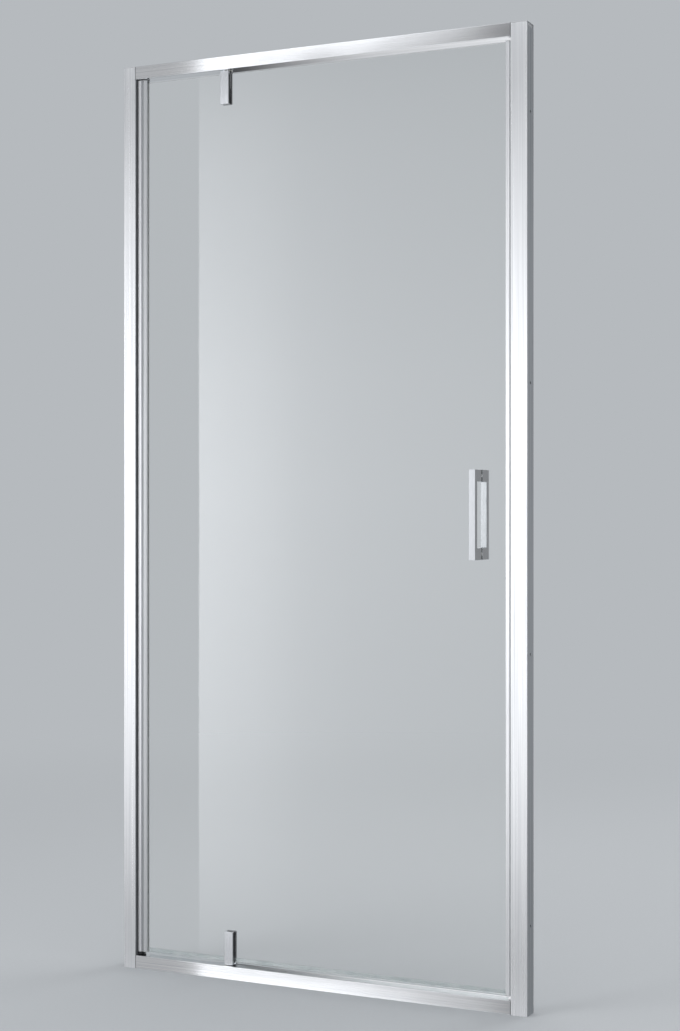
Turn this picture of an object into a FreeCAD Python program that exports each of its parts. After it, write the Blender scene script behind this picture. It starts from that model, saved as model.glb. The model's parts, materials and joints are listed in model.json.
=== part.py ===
import FreeCAD, Part
import os
import Sketcher

# Pivot shower door for an alcove: an aluminium frame of two jambs and two rails, and one glass
# leaf that turns on an offset vertical pivot. Millimetres. +Z is up, +X is to the right and -Y is
# out of the shower, as a person outside sees it. The origin is on the floor, at the middle of the
# frame's width and in the middle plane of the glass.

doc = FreeCAD.newDocument("PivotShowerDoor")
sheet = doc.addObject("Spreadsheet::Sheet", "Sizes")
nodes = {}


# ---------------------------------------------------------------- sizes

class Size:
    """A length: its number now, and the expression that keeps it bound to the sheet."""

    def __init__(self, number, text):
        self.number = number
        self.text = text

    def __add__(self, other):
        other = as_size(other)
        return Size(self.number + other.number, f"({self.text} + {other.text})")

    def __sub__(self, other):
        other = as_size(other)
        return Size(self.number - other.number, f"({self.text} - {other.text})")

    def __mul__(self, factor):
        return Size(self.number * factor, f"{self.text} * {factor}")

    def __truediv__(self, divisor):
        return Size(self.number / divisor, f"{self.text} / {divisor}")

    def __neg__(self):
        return Size(-self.number, f"(0 - {self.text})")

    __rmul__ = __mul__


def as_size(value):
    return value if isinstance(value, Size) else Size(value, str(value))


def size(alias, number):
    """Write one driving dimension in the sheet and hand it back as a Size."""
    size.row += 1
    sheet.set(f"A{size.row}", alias)
    sheet.set(f"B{size.row}", str(number))
    sheet.setAlias(f"B{size.row}", alias)
    return Size(number, f"Sizes.{alias}")


size.row = 0
zero = as_size(0)

# the frame
frame_width = size("frame_width", 900)  # from wall to wall
frame_height = size("frame_height", 1900)
frame_depth = size("frame_depth", 36)
hinge_jamb_face = size("hinge_jamb_face", 28)
latch_jamb_face = size("latch_jamb_face", 34)
rail_face = size("rail_face", 27)
profile_wall = size("profile_wall", 1.6)
profile_round = size("profile_round", 0.8)
jamb_cap_thickness = size("jamb_cap_thickness", 1.5)
jamb_cap_plug = size("jamb_cap_plug", 7)
joint_pad_thickness = size("joint_pad_thickness", 1)
joint_pad_inset = size("joint_pad_inset", 0.4)
channel_wall = size("channel_wall", 1.8)
channel_reach = size("channel_reach", 20)
channel_slip = size("channel_slip", 0.3)
wall_hole_radius = size("wall_hole_radius", 2.75)
wall_hole_low = size("wall_hole_low", 170)
screw_port_radius = size("screw_port_radius", 3.8)
screw_port_bite = size("screw_port_bite", 0.4)  # how far a screw port runs into the rail's wall
screw_radius = size("screw_radius", 1.9)
screw_play = size("screw_play", 0.1)
corner_screw_length = size("corner_screw_length", 24)
screw_head_radius = size("screw_head_radius", 3.2)
screw_head_height = size("screw_head_height", 2.2)
screw_socket_radius = size("screw_socket_radius", 1.3)
screw_socket_depth = size("screw_socket_depth", 1.2)
jamb_screw_end_distance = size("jamb_screw_end_distance", 150)
jamb_screw_from_wall = size("jamb_screw_from_wall", 11)
jamb_screw_length = size("jamb_screw_length", 9)
cover_cap_radius = size("cover_cap_radius", 6)
cover_cap_wall = size("cover_cap_wall", 1.2)
cover_cap_gap = size("cover_cap_gap", 0.4)  # room between a screw head and its cap

# seals in the jambs
seal_groove_width = size("seal_groove_width", 4)
seal_groove_depth = size("seal_groove_depth", 2.2)
seal_foot_play = size("seal_foot_play", 0.15)
hinge_seal_groove_y = size("hinge_seal_groove_y", -4)
hinge_seal_thickness = size("hinge_seal_thickness", 1)
hinge_seal_edge_inset = size("hinge_seal_edge_inset", 3.5)
hinge_seal_fin_reach = size("hinge_seal_fin_reach", 2.6)
hinge_seal_fin_thickness = size("hinge_seal_fin_thickness", 1.2)
hinge_seal_fin_gap = size("hinge_seal_fin_gap", 1.6)  # from the fin to the stile behind it
hinge_seal_back_reach = size("hinge_seal_back_reach", 12)
magnet_strip_height = size("magnet_strip_height", 17)  # across the strip, along Y
jamb_magnet_thickness = size("jamb_magnet_thickness", 1.5)
leaf_magnet_thickness = size("leaf_magnet_thickness", 2.5)
magnet_foot_depth = size("magnet_foot_depth", 0.8)
stop_reach = size("stop_reach", 8)
stop_gap = size("stop_gap", 1.5)  # from the closed leaf to the stop behind it
stop_buffer_thickness = size("stop_buffer_thickness", 1)

# the leaf
leaf_foot_gap = size("leaf_foot_gap", 7)
leaf_head_gap = size("leaf_head_gap", 6.5)
hinge_edge_gap = size("hinge_edge_gap", 1.5)
latch_edge_gap = size("latch_edge_gap", 1)
glass_thickness = size("glass_thickness", 6)
stile_depth = size("stile_depth", 20)
stile_round = size("stile_round", 0.5)
stile_wall = size("stile_wall", 1.5)
hinge_stile_width = size("hinge_stile_width", 20)
hinge_stile_slot_depth = size("hinge_stile_slot_depth", 12)
stile_groove_from_edge = size("stile_groove_from_edge", 8.4)
stile_groove_width = size("stile_groove_width", 6)
stile_groove_depth = size("stile_groove_depth", 1.8)
stile_lip_fall = size("stile_lip_fall", 3.5)  # how far the lip beside the glass falls back
latch_stile_width = size("latch_stile_width", 8)
latch_stile_slot_depth = size("latch_stile_slot_depth", 5.5)
liner_thickness = size("liner_thickness", 0.5)
liner_stand_out = size("liner_stand_out", 0.6)
stile_cap_thickness = size("stile_cap_thickness", 1.2)
stile_plug_length = size("stile_plug_length", 9)
stile_plug_play = size("stile_plug_play", 0.2)
foot_block_gap = size("foot_block_gap", 1)  # from the black foot block to the rail
hinge_stile_head_gap = size("hinge_stile_head_gap", 1)  # from the hinge stile's cap to the top rail
drip_seal_wall = size("drip_seal_wall", 1)
drip_seal_grip = size("drip_seal_grip", 8)
drip_seal_lip_gap = size("drip_seal_lip_gap", 1)
drip_seal_lip_throw = size("drip_seal_lip_throw", 5)
drip_seal_end_gap = size("drip_seal_end_gap", 0.8)

# the two pivot hinges
pivot_from_frame_edge = size("pivot_from_frame_edge", 242)
block_width = size("block_width", 20.2)
block_height = size("block_height", 68)
block_depth = size("block_depth", 20)
block_round = size("block_round", 0.7)
block_rail_gap = size("block_rail_gap", 1)
block_side_offset = size("block_side_offset", 5)  # of a block's middle from the pivot axis
block_pad_thickness = size("block_pad_thickness", 0.5)
core_inset = size("core_inset", 0.9)  # of the core that fills the glass notch
core_far_wall = size("core_far_wall", 1.6)
core_end_wall = size("core_end_wall", 3.5)
notch_play = size("notch_play", 0.3)
pin_radius = size("pin_radius", 3)
pin_seat_play = size("pin_seat_play", 0.02)
pin_running_play = size("pin_running_play", 0.05)
pin_in_block = size("pin_in_block", 25)
bush_bore_depth = size("bush_bore_depth", 14)
bush_floor = size("bush_floor", 2)
bush_radius = size("bush_radius", 6)
bush_flange_radius = size("bush_flange_radius", 8.5)
bush_flange_thickness = size("bush_flange_thickness", 0.7)
bush_fit_play = size("bush_fit_play", 0.05)
pin_end_gap = size("pin_end_gap", 0.4)
clamp_screw_radius = size("clamp_screw_radius", 2)
clamp_screw_head_radius = size("clamp_screw_head_radius", 4)
clamp_screw_head_height = size("clamp_screw_head_height", 2)
clamp_screw_play = size("clamp_screw_play", 0.05)
clamp_screw_end_skin = size("clamp_screw_end_skin", 2.6)  # left uncut behind the block's face
near_screw_from_pin = size("near_screw_from_pin", 3)  # from the pin's end to the nearer clamp screw
far_screw_from_core = size("far_screw_from_core", 18.5)
glass_hole_radius = size("glass_hole_radius", 5)

# the pair of handles, back to back
handle_from_opening_edge = size("handle_from_opening_edge", 71)
handle_centre_height = size("handle_centre_height", 957)
handle_length = size("handle_length", 175)
handle_width = size("handle_width", 13)
handle_bar_thickness = size("handle_bar_thickness", 12.3)
handle_leg_height = size("handle_leg_height", 23.5)
handle_reach = size("handle_reach", 36)  # from the glass to the front of the bar
handle_round = size("handle_round", 0.8)
handle_washer_thickness = size("handle_washer_thickness", 0.8)
handle_washer_inset = size("handle_washer_inset", 0.4)
stud_radius = size("stud_radius", 4)
stud_play = size("stud_play", 0.05)
stud_bite = size("stud_bite", 13)  # how deep a stud goes into a handle's leg
stud_glass_hole_radius = size("stud_glass_hole_radius", 6.5)
sleeve_play = size("sleeve_play", 0.1)
grub_radius = size("grub_radius", 2)
grub_length = size("grub_length", 5.5)
grub_from_glass = size("grub_from_glass", 8)
doc.recompute()

# places worked out from them
left = -frame_width / 2
right = frame_width / 2
front = -frame_depth / 2
back = frame_depth / 2
opening_left = left + hinge_jamb_face
opening_right = right - latch_jamb_face
opening_top = frame_height - rail_face
jamb_top = frame_height - jamb_cap_thickness
leaf_bottom = rail_face + leaf_foot_gap
leaf_top = opening_top - leaf_head_gap
leaf_left = opening_left + hinge_edge_gap
leaf_right = opening_right - jamb_magnet_thickness - latch_edge_gap
glass_face = glass_thickness / 2
stile_face = stile_depth / 2
latch_stile_right = leaf_right - leaf_magnet_thickness
latch_stile_left = latch_stile_right - latch_stile_width
hinge_stile_right = leaf_left + hinge_stile_width
hinge_stile_top = opening_top - hinge_stile_head_gap - stile_cap_thickness
glass_left = hinge_stile_right - hinge_stile_slot_depth + liner_thickness
glass_right = latch_stile_left + latch_stile_slot_depth - liner_thickness
slot_face = glass_face + liner_thickness
pivot_x = left + pivot_from_frame_edge
near_screw_from_end = pin_in_block + clamp_screw_radius + near_screw_from_pin
core_height = near_screw_from_end + clamp_screw_radius + core_end_wall
core_far_reach = block_side_offset + clamp_screw_radius + core_far_wall
far_screw_from_end = core_height + far_screw_from_core
handle_x = opening_right - handle_from_opening_edge
handle_z = handle_centre_height


# ---------------------------------------------------------------- builders

def bind(piece, place, value):
    piece.setExpression(place, as_size(value).text)


def node(label, piece):
    """Name a finished piece: its label is the name of its node and of its file."""
    piece.Label = label
    nodes[label] = piece
    return piece


def span(one_end, other_end):
    """The two ends as a (low, high) pair."""
    return (one_end, other_end) if one_end.number < other_end.number else (other_end, one_end)


def mirrored(side, distance):
    """A distance measured from the pivot axis towards +X (side 1) or -X (side -1)."""
    return pivot_x + distance if side > 0 else pivot_x - distance


def move_to(piece, x, y, z, turn=None):
    if turn:
        axis, degrees = turn
        piece.Placement = FreeCAD.Placement(FreeCAD.Vector(), FreeCAD.Rotation(FreeCAD.Vector(*axis), degrees))
    bind(piece, "Placement.Base.x", x)
    bind(piece, "Placement.Base.y", y)
    bind(piece, "Placement.Base.z", z)
    return piece


def box(x_ends, y_ends, z_ends):
    piece = doc.addObject("Part::Box", "block")
    bind(piece, "Length", x_ends[1] - x_ends[0])
    bind(piece, "Width", y_ends[1] - y_ends[0])
    bind(piece, "Height", z_ends[1] - z_ends[0])
    return move_to(piece, x_ends[0], y_ends[0], z_ends[0])


TURNS = {
    "+X": ((0, 1, 0), 90),
    "-X": ((0, 1, 0), -90),
    "+Y": ((1, 0, 0), -90),
    "-Y": ((1, 0, 0), 90),
    "+Z": None,
    "-Z": ((1, 0, 0), 180),
}


def rod(radius, length, x, y, z, towards):
    """A round rod that starts at a point and runs towards one of the six directions."""
    piece = doc.addObject("Part::Cylinder", "rod")
    bind(piece, "Radius", radius)
    bind(piece, "Height", length)
    return move_to(piece, x, y, z, TURNS[towards])


def cone(base_radius, top_radius, length, x, y, z, towards):
    piece = doc.addObject("Part::Cone", "taper")
    bind(piece, "Radius1", base_radius)
    bind(piece, "Radius2", top_radius)
    bind(piece, "Height", length)
    return move_to(piece, x, y, z, TURNS[towards])


def group(pieces):
    piece = doc.addObject("Part::Compound", "group")
    piece.Links = pieces
    return piece


def join(*pieces):
    piece = doc.addObject("Part::MultiFuse", "joined")
    piece.Shapes = list(pieces)
    return piece


def cut(base, *tools):
    piece = doc.addObject("Part::Cut", "cut")
    piece.Base = base
    piece.Tool = tools[0] if len(tools) == 1 else group(list(tools))
    return piece


def draw(sketch, points):
    """A closed outline in a sketch, each corner held to the sheet."""
    places = [FreeCAD.Vector(across.number, up.number, 0) for across, up in points]
    first = sketch.GeometryCount
    count = len(points)
    for i in range(count):
        sketch.addGeometry(Part.LineSegment(places[i], places[(i + 1) % count]), False)
    for i in range(count):
        sketch.addConstraint(Sketcher.Constraint("Coincident", first + i, 2, first + (i + 1) % count, 1))
    for i, (across, up) in enumerate(points):
        for kind, value in (("DistanceX", across), ("DistanceY", up)):
            index = sketch.addConstraint(Sketcher.Constraint(kind, -1, 1, first + i, 1, value.number))
            bind(sketch, f"Constraints[{index}]", value)


def extrusion(plane, outline, ends, holes=(), rounds=None):
    """A straight profile: its outline on one of the three planes, drawn out from end to end."""
    body = doc.addObject("PartDesign::Body", "profile")
    sketch = body.newObject("Sketcher::SketchObject", "outline")
    origin_plane = [part for part in body.Origin.OriginFeatures if part.Role == plane][0]
    sketch.AttachmentSupport = (origin_plane, [""])
    sketch.MapMode = "FlatFace"
    # the XZ plane faces -Y, so a profile on it starts at its far end
    start = -ends[1] if plane == "XZ_Plane" else ends[0]
    bind(sketch, "AttachmentOffset.Base.z", start)
    draw(sketch, outline)
    for hole in holes:
        draw(sketch, hole)
    pad = body.newObject("PartDesign::Pad", "drawn_length")
    pad.Profile = sketch
    bind(pad, "Length", ends[1] - ends[0])
    if rounds:
        radius, is_rounded = rounds
        doc.recompute()
        edges = [f"Edge{i}" for i, edge in enumerate(pad.Shape.Edges, 1) if is_rounded(edge)]
        fillet = body.newObject("PartDesign::Fillet", "rounding")
        fillet.Base = (pad, edges)
        bind(fillet, "Radius", radius)
    return body


def rectangle(across_ends, up_ends):
    low_across, high_across = across_ends
    low_up, high_up = up_ends
    return [(low_across, low_up), (high_across, low_up), (high_across, high_up), (low_across, high_up)]


def runs_along(axis, *corners):
    """Picks the long edges along an axis whose other two coordinates are one of the corners."""
    def is_picked(edge):
        middle = edge.CenterOfMass
        ends = [vertex.Point for vertex in edge.Vertexes]
        if len(ends) != 2 or abs((ends[1] - ends[0])[axis]) < 0.99 * edge.Length:
            return False
        rest = [middle[i] for i in range(3) if i != axis]
        return any(
            abs(rest[0] - first.number) < 0.01 and abs(rest[1] - second.number) < 0.01
            for first, second in corners
        )
    return is_picked


def lies_on(axis, *levels):
    """Picks the edges that lie in a plane square to the axis, at one of the levels."""
    def is_picked(edge):
        box_of_edge = edge.BoundBox
        low = (box_of_edge.XMin, box_of_edge.YMin, box_of_edge.ZMin)[axis]
        high = (box_of_edge.XMax, box_of_edge.YMax, box_of_edge.ZMax)[axis]
        return any(abs(low - level.number) < 0.01 and abs(high - level.number) < 0.01 for level in levels)
    return is_picked


def pan_screw(x, y, z, towards, length):
    """A screw whose head seats at a point, with its shank running towards a direction."""
    away = {"+": "-", "-": "+"}[towards[0]] + towards[1]
    head = cone(screw_head_radius, screw_head_radius * 0.8, screw_head_height, zero, zero, zero, "+Z")
    shank = rod(screw_radius, length, zero, zero, zero, "-Z")
    socket = doc.addObject("Part::Prism", "socket")
    socket.Polygon = 6
    bind(socket, "Circumradius", screw_socket_radius)
    bind(socket, "Height", screw_socket_depth)
    bind(socket, "Placement.Base.z", screw_head_height - screw_socket_depth)
    return move_to(cut(join(head, shank), socket), x, y, z, TURNS[away])


# ---------------------------------------------------------------- the frame

jamb_ends = (zero, jamb_top)
web_left = opening_left - profile_wall  # hidden face of the hinge jamb's web
web_right = opening_right + profile_wall
port_y = back - profile_wall - screw_port_radius + screw_port_bite
port_places = [-port_y, port_y]
rail_middle = rail_face / 2
rail_heights = [rail_middle, frame_height - rail_middle]
last_jamb_screw = jamb_top - jamb_screw_end_distance
jamb_screw_heights = [
    jamb_screw_end_distance,
    (jamb_screw_end_distance + last_jamb_screw) / 2,
    last_jamb_screw,
]
last_wall_hole = frame_height - wall_hole_low
wall_hole_pitch = (last_wall_hole - wall_hole_low) / 3
wall_hole_heights = [wall_hole_low + wall_hole_pitch * i for i in range(4)]


def jamb_holes(web_face, towards, screw_x):
    """Holes for the corner screws through a jamb's web and for the fixing screws in its back."""
    tools = []
    for y in port_places:
        for z in rail_heights:
            tools.append(rod(screw_radius + screw_play, profile_wall * 3, web_face, y, z, towards))
    for z in jamb_screw_heights:
        tools.append(rod(screw_radius + screw_play, profile_wall * 2, screw_x, back + profile_wall / 2, z, "-Y"))
    return tools


def seal_groove(web_face, web_hidden, inward, groove_y):
    """Corners of the groove that holds a seal's foot, and of the rib that backs it, in a web."""
    low = groove_y - seal_groove_width / 2
    high = groove_y + seal_groove_width / 2
    floor = web_face + seal_groove_depth * inward
    rib = floor + profile_wall * inward
    groove = [(web_face, low), (floor, low), (floor, high), (web_face, high)]
    backing = [
        (web_hidden, high + profile_wall),
        (rib, high + profile_wall),
        (rib, low - profile_wall),
        (web_hidden, low - profile_wall),
    ]
    return groove, backing


def build_hinge_jamb():
    groove, backing = seal_groove(opening_left, web_left, -1, hinge_seal_groove_y)
    outline = [(left, front), (opening_left, front)] + groove
    outline += [(opening_left, back), (left, back), (left, back - profile_wall), (web_left, back - profile_wall)]
    outline += backing + [(web_left, front + profile_wall), (left, front + profile_wall)]
    corners = runs_along(2, (left, front), (opening_left, front), (opening_left, back), (left, back))
    shell = extrusion("XY_Plane", outline, jamb_ends, rounds=(profile_round, corners))
    screw_x = left + jamb_screw_from_wall
    return node("hinge_jamb", cut(shell, *jamb_holes(opening_left - profile_wall * 2, "+X", screw_x)))


def build_latch_jamb():
    groove, backing = seal_groove(opening_right, web_right, 1, zero)
    stop_front = stile_face + stop_gap
    outline = [(right, front), (opening_right, front)] + groove
    outline += [
        (opening_right, stop_front),
        (opening_right - stop_reach, stop_front),
        (opening_right - stop_reach, stop_front + profile_wall),
        (opening_right, stop_front + profile_wall),
        (opening_right, back),
        (right, back),
        (right, back - profile_wall),
        (web_right, back - profile_wall),
    ]
    outline += backing + [(web_right, front + profile_wall), (right, front + profile_wall)]
    corners = runs_along(2, (right, front), (opening_right, front), (opening_right, back), (right, back))
    shell = extrusion("XY_Plane", outline, jamb_ends, rounds=(profile_round, corners))
    screw_x = right - jamb_screw_from_wall
    tools = jamb_holes(opening_right + profile_wall * 2, "-X", screw_x)
    notch_x = (opening_right - stop_reach * 2, opening_right)
    for notch_z in ((zero - stop_reach, rail_face), (opening_top, frame_height + stop_reach)):
        tools.append(box(notch_x, (zero, back - profile_wall), notch_z))  # the stop ends at the rails
    return node("latch_jamb", cut(shell, *tools))


def build_wall_channel(label, wall_face, inward, screw_x):
    """The channel that is screwed to the wall first. The jamb slides over it."""
    outer = back - profile_wall - channel_slip
    inner = outer - channel_wall
    plate = wall_face + channel_wall * inward
    tip = wall_face + channel_reach * inward
    outline = [
        (wall_face, -outer),
        (tip, -outer),
        (tip, -inner),
        (plate, -inner),
        (plate, inner),
        (tip, inner),
        (tip, outer),
        (wall_face, outer),
    ]
    channel_ends = (zero, jamb_top - jamb_cap_plug - channel_slip)
    profile = extrusion("XY_Plane", outline, channel_ends)
    towards = "+X" if inward > 0 else "-X"
    tools = []
    for z in wall_hole_heights:
        start = wall_face - channel_wall * inward
        tools.append(rod(wall_hole_radius, channel_wall * 3, start, zero, z, towards))
    for z in jamb_screw_heights:
        tools.append(rod(screw_radius + screw_play, channel_wall * 2, screw_x, outer + channel_wall / 2, z, "-Y"))
    return node(label, cut(profile, *tools))


def build_rail(label, low, face_towards_leaf, up):
    """A hollow rail between the jambs, with two screw ports and the hole for its pivot bush."""
    high = low + rail_face
    outline = rectangle((front, back), (low, high))
    hollow = rectangle((front + profile_wall, back - profile_wall), (low + profile_wall, high - profile_wall))
    start = opening_left + joint_pad_thickness
    end = opening_right - joint_pad_thickness
    corners = runs_along(0, (front, low), (back, low), (front, high), (back, high))
    tube = extrusion("YZ_Plane", outline, (start, end), [hollow], (profile_round, corners))
    middle = low + rail_middle
    ports = [rod(screw_port_radius, end - start, start, y, middle, "+X") for y in port_places]
    holes = [rod(screw_radius + screw_play / 2, end - start, start, y, middle, "+X") for y in port_places]
    bush_depth = bush_bore_depth + bush_floor
    bush_hole = rod(bush_radius + bush_fit_play, bush_depth, pivot_x, zero, face_towards_leaf, up)
    return node(label, cut(join(tube, *ports), *holes, bush_hole))


def build_joint_pads(label, x_ends):
    """The two soft pads that seal a jamb against the ends of the rails."""
    y_ends = (front + joint_pad_inset, back - joint_pad_inset)
    pads = []
    for low in (zero, frame_height - rail_face):
        z_ends = (low + joint_pad_inset, low + rail_face - joint_pad_inset)
        pad = box(x_ends, y_ends, z_ends)
        holes = [
            rod(screw_radius + screw_play, joint_pad_thickness * 3, x_ends[0] - joint_pad_thickness, y,
                low + rail_middle, "+X")
            for y in port_places
        ]
        pads.append(cut(pad, *holes))
    return node(label, group(pads))


def build_jamb_caps():
    """A cap closes the top of each jamb, with a plug that stands above the wall channel."""
    plug_side = back - profile_wall - channel_slip
    caps = []
    for wall_face, inward, web_hidden in ((left, 1, web_left), (right, -1, web_right)):
        cover_edge = opening_left if inward > 0 else opening_right
        cover_x = span(wall_face, cover_edge)
        cover = box(cover_x, (front, back), (jamb_top, frame_height))
        rib_room = (seal_groove_depth + profile_wall) * inward
        plug_x = span(wall_face + channel_wall * inward, web_hidden - rib_room)
        plug = box(plug_x, (-plug_side, plug_side), (jamb_top - jamb_cap_plug, jamb_top))
        caps.append(join(cover, plug))
    return node("jamb_top_caps", group(caps))


def build_frame_screws():
    corner = []
    for web_hidden, towards in ((web_left, "+X"), (web_right, "-X")):
        for y in port_places:
            for z in rail_heights:
                corner.append(pan_screw(web_hidden, y, z, towards, corner_screw_length))
    node("corner_screws", group(corner))
    fixing = []
    caps = []
    cap_room = screw_head_height + cover_cap_gap
    for x in (left + jamb_screw_from_wall, right - jamb_screw_from_wall):
        for z in jamb_screw_heights:
            fixing.append(pan_screw(x, back, z, "-Y", jamb_screw_length))
            dome = cone(cover_cap_radius, cover_cap_radius - cover_cap_wall, cap_room + cover_cap_wall,
                        x, back, z, "+Y")
            room = rod(screw_head_radius + cover_cap_gap, cap_room, x, back, z, "+Y")
            caps.append(cut(dome, room))
    node("jamb_fixing_screws", group(fixing))
    node("screw_cover_caps", group(caps))


def build_jamb_seals():
    """The black gasket of the hinge jamb, and the magnet strip and stop buffer of the latch jamb."""
    ends = (rail_face, opening_top)
    foot_half = seal_groove_width / 2 - seal_foot_play
    foot_tip = opening_left - seal_groove_depth + seal_foot_play
    face = opening_left + hinge_seal_thickness
    fin_back = -stile_face - hinge_seal_fin_gap
    fin_front = fin_back - hinge_seal_fin_thickness
    fin_tip = opening_left + hinge_seal_fin_reach
    outline = [
        (opening_left, front + hinge_seal_edge_inset),
        (face, front + hinge_seal_edge_inset),
        (face, fin_front),
        (fin_tip, fin_front + hinge_seal_fin_thickness / 2),
        (fin_tip, fin_back),
        (face, fin_back),
        (face, hinge_seal_back_reach),
        (opening_left, hinge_seal_back_reach),
        (opening_left, hinge_seal_groove_y + foot_half),
        (foot_tip, hinge_seal_groove_y + foot_half),
        (foot_tip, hinge_seal_groove_y - foot_half),
        (opening_left, hinge_seal_groove_y - foot_half),
    ]
    node("hinge_jamb_gasket", extrusion("XY_Plane", outline, ends))

    half = magnet_strip_height / 2
    inner_face = opening_right - jamb_magnet_thickness
    foot_tip = opening_right + seal_groove_depth - seal_foot_play
    outline = [
        (inner_face, -half),
        (opening_right, -half),
        (opening_right, -foot_half),
        (foot_tip, -foot_half),
        (foot_tip, foot_half),
        (opening_right, foot_half),
        (opening_right, half),
        (inner_face, half),
    ]
    node("jamb_magnet_strip", extrusion("XY_Plane", outline, ends))

    stop_front = stile_face + stop_gap
    buffer_y = (stop_front - stop_buffer_thickness, stop_front)
    buffer_x = (opening_right - stop_reach, opening_right - stop_reach / 2)
    node("stop_buffer", extrusion("XY_Plane", rectangle(buffer_x, buffer_y), ends))


def build_bush(label, rail_surface, into_rail, out_of_rail):
    """A nylon cup pressed into the rail, where a pivot pin turns. Its flange lies on the rail."""
    depth = bush_bore_depth + bush_floor
    cup = rod(bush_radius, depth, pivot_x, zero, rail_surface, into_rail)
    flange = rod(bush_flange_radius, bush_flange_thickness, pivot_x, zero, rail_surface, out_of_rail)
    bore_radius = pin_radius + pin_running_play
    bore = rod(bore_radius, bush_bore_depth, pivot_x, zero, rail_surface, into_rail)
    mouth = rod(bore_radius, bush_flange_thickness, pivot_x, zero, rail_surface, out_of_rail)
    return node(label, cut(join(cup, flange), bore, mouth))


# ---------------------------------------------------------------- the leaf

def hinge_ends(at_bottom):
    """Where a hinge's parts lie: the block's end beside the rail, and the way into the leaf."""
    if at_bottom:
        return rail_face + block_rail_gap, 1
    return opening_top - block_rail_gap, -1


def block_x_ends(side):
    near = block_width / 2 - block_side_offset
    far = block_width / 2 + block_side_offset
    return span(mirrored(-side, near), mirrored(side, far))


def core_x_ends(side, play):
    near = block_width / 2 - block_side_offset - core_inset
    return span(mirrored(-side, near + play), mirrored(side, core_far_reach + play))


def block_screw_x(side):
    return mirrored(side, block_side_offset)


def build_glass():
    """The pane, with a notch for each pivot block and holes for its clamps and the handles."""
    outline = rectangle((glass_left, glass_right), (leaf_bottom, leaf_top))
    pane = extrusion("XZ_Plane", outline, (-glass_face, glass_face))
    through = (-glass_thickness, glass_thickness)
    tools = []
    for at_bottom, side in ((True, 1), (False, -1)):
        end, into = hinge_ends(at_bottom)
        notch_z = span(end, end + (core_height + notch_play) * into)
        tools.append(box(core_x_ends(side, notch_play), through, notch_z))
        screw_z = end + far_screw_from_end * into
        tools.append(rod(glass_hole_radius, glass_thickness * 2, block_screw_x(side), -glass_thickness, screw_z, "+Y"))
    for z in stud_heights:
        tools.append(rod(stud_glass_hole_radius, glass_thickness * 2, handle_x, -glass_thickness, z, "+Y"))
    return node("glass_pane", cut(pane, *tools))


def build_hinge_stile():
    """Edge profile of the hinge side: a hollow, a slot for the glass and a groove down each face."""
    slot_floor = hinge_stile_right - hinge_stile_slot_depth
    groove_x = (leaf_left + stile_groove_from_edge, leaf_left + stile_groove_from_edge + stile_groove_width)
    groove_y = stile_face - stile_groove_depth
    lip_face = stile_face - stile_lip_fall
    outline = [
        (leaf_left, -stile_face),
        (groove_x[0], -stile_face),
        (groove_x[0], -groove_y),
        (groove_x[1], -groove_y),
        (groove_x[1], -stile_face),
        (hinge_stile_right, -lip_face),
        (hinge_stile_right, -slot_face),
        (slot_floor, -slot_face),
        (slot_floor, slot_face),
        (hinge_stile_right, slot_face),
        (hinge_stile_right, lip_face),
        (groove_x[1], stile_face),
        (groove_x[1], groove_y),
        (groove_x[0], groove_y),
        (groove_x[0], stile_face),
        (leaf_left, stile_face),
    ]
    hollow = rectangle(stile_hollow_x, (-stile_hollow_y, stile_hollow_y))
    corners = runs_along(
        2, (leaf_left, -stile_face), (hinge_stile_right, -lip_face),
        (hinge_stile_right, lip_face), (leaf_left, stile_face),
    )
    profile = extrusion("XY_Plane", outline, (leaf_bottom, hinge_stile_top), [hollow], (stile_round, corners))
    return node("hinge_stile", profile)


def build_latch_stile():
    """Narrow edge profile of the latch side, with a groove for the foot of the magnet strip."""
    slot_floor = latch_stile_left + latch_stile_slot_depth
    foot_half = seal_groove_width / 2
    foot_floor = latch_stile_right - magnet_foot_depth - seal_foot_play
    outline = [
        (latch_stile_left, -stile_face),
        (latch_stile_right, -stile_face),
        (latch_stile_right, -foot_half),
        (foot_floor, -foot_half),
        (foot_floor, foot_half),
        (latch_stile_right, foot_half),
        (latch_stile_right, stile_face),
        (latch_stile_left, stile_face),
        (latch_stile_left, slot_face),
        (slot_floor, slot_face),
        (slot_floor, -slot_face),
        (latch_stile_left, -slot_face),
    ]
    corners = runs_along(
        2, (latch_stile_left, -stile_face), (latch_stile_right, -stile_face),
        (latch_stile_right, stile_face), (latch_stile_left, stile_face),
    )
    profile = extrusion("XY_Plane", outline, (leaf_bottom, leaf_top), rounds=(stile_round, corners))
    return node("latch_stile", profile)


def build_leaf_magnet():
    half = magnet_strip_height / 2
    foot_half = seal_groove_width / 2 - seal_foot_play
    foot_tip = latch_stile_right - magnet_foot_depth
    outline = [
        (latch_stile_right, -half),
        (leaf_right, -half),
        (leaf_right, half),
        (latch_stile_right, half),
        (latch_stile_right, foot_half),
        (foot_tip, foot_half),
        (foot_tip, -foot_half),
        (latch_stile_right, -foot_half),
    ]
    return node("leaf_magnet_strip", extrusion("XY_Plane", outline, (leaf_bottom, leaf_top)))


def build_liner(label, slot_floor, mouth, inward):
    """The soft channel that beds the edge of the glass in a stile."""
    glass_edge = slot_floor + liner_thickness * inward
    lip = mouth + liner_stand_out * inward
    outline = [
        (slot_floor, -slot_face),
        (lip, -slot_face),
        (lip, -glass_face),
        (glass_edge, -glass_face),
        (glass_edge, glass_face),
        (lip, glass_face),
        (lip, slot_face),
        (slot_floor, slot_face),
    ]
    return node(label, extrusion("XY_Plane", outline, (leaf_bottom, leaf_top)))


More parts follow.
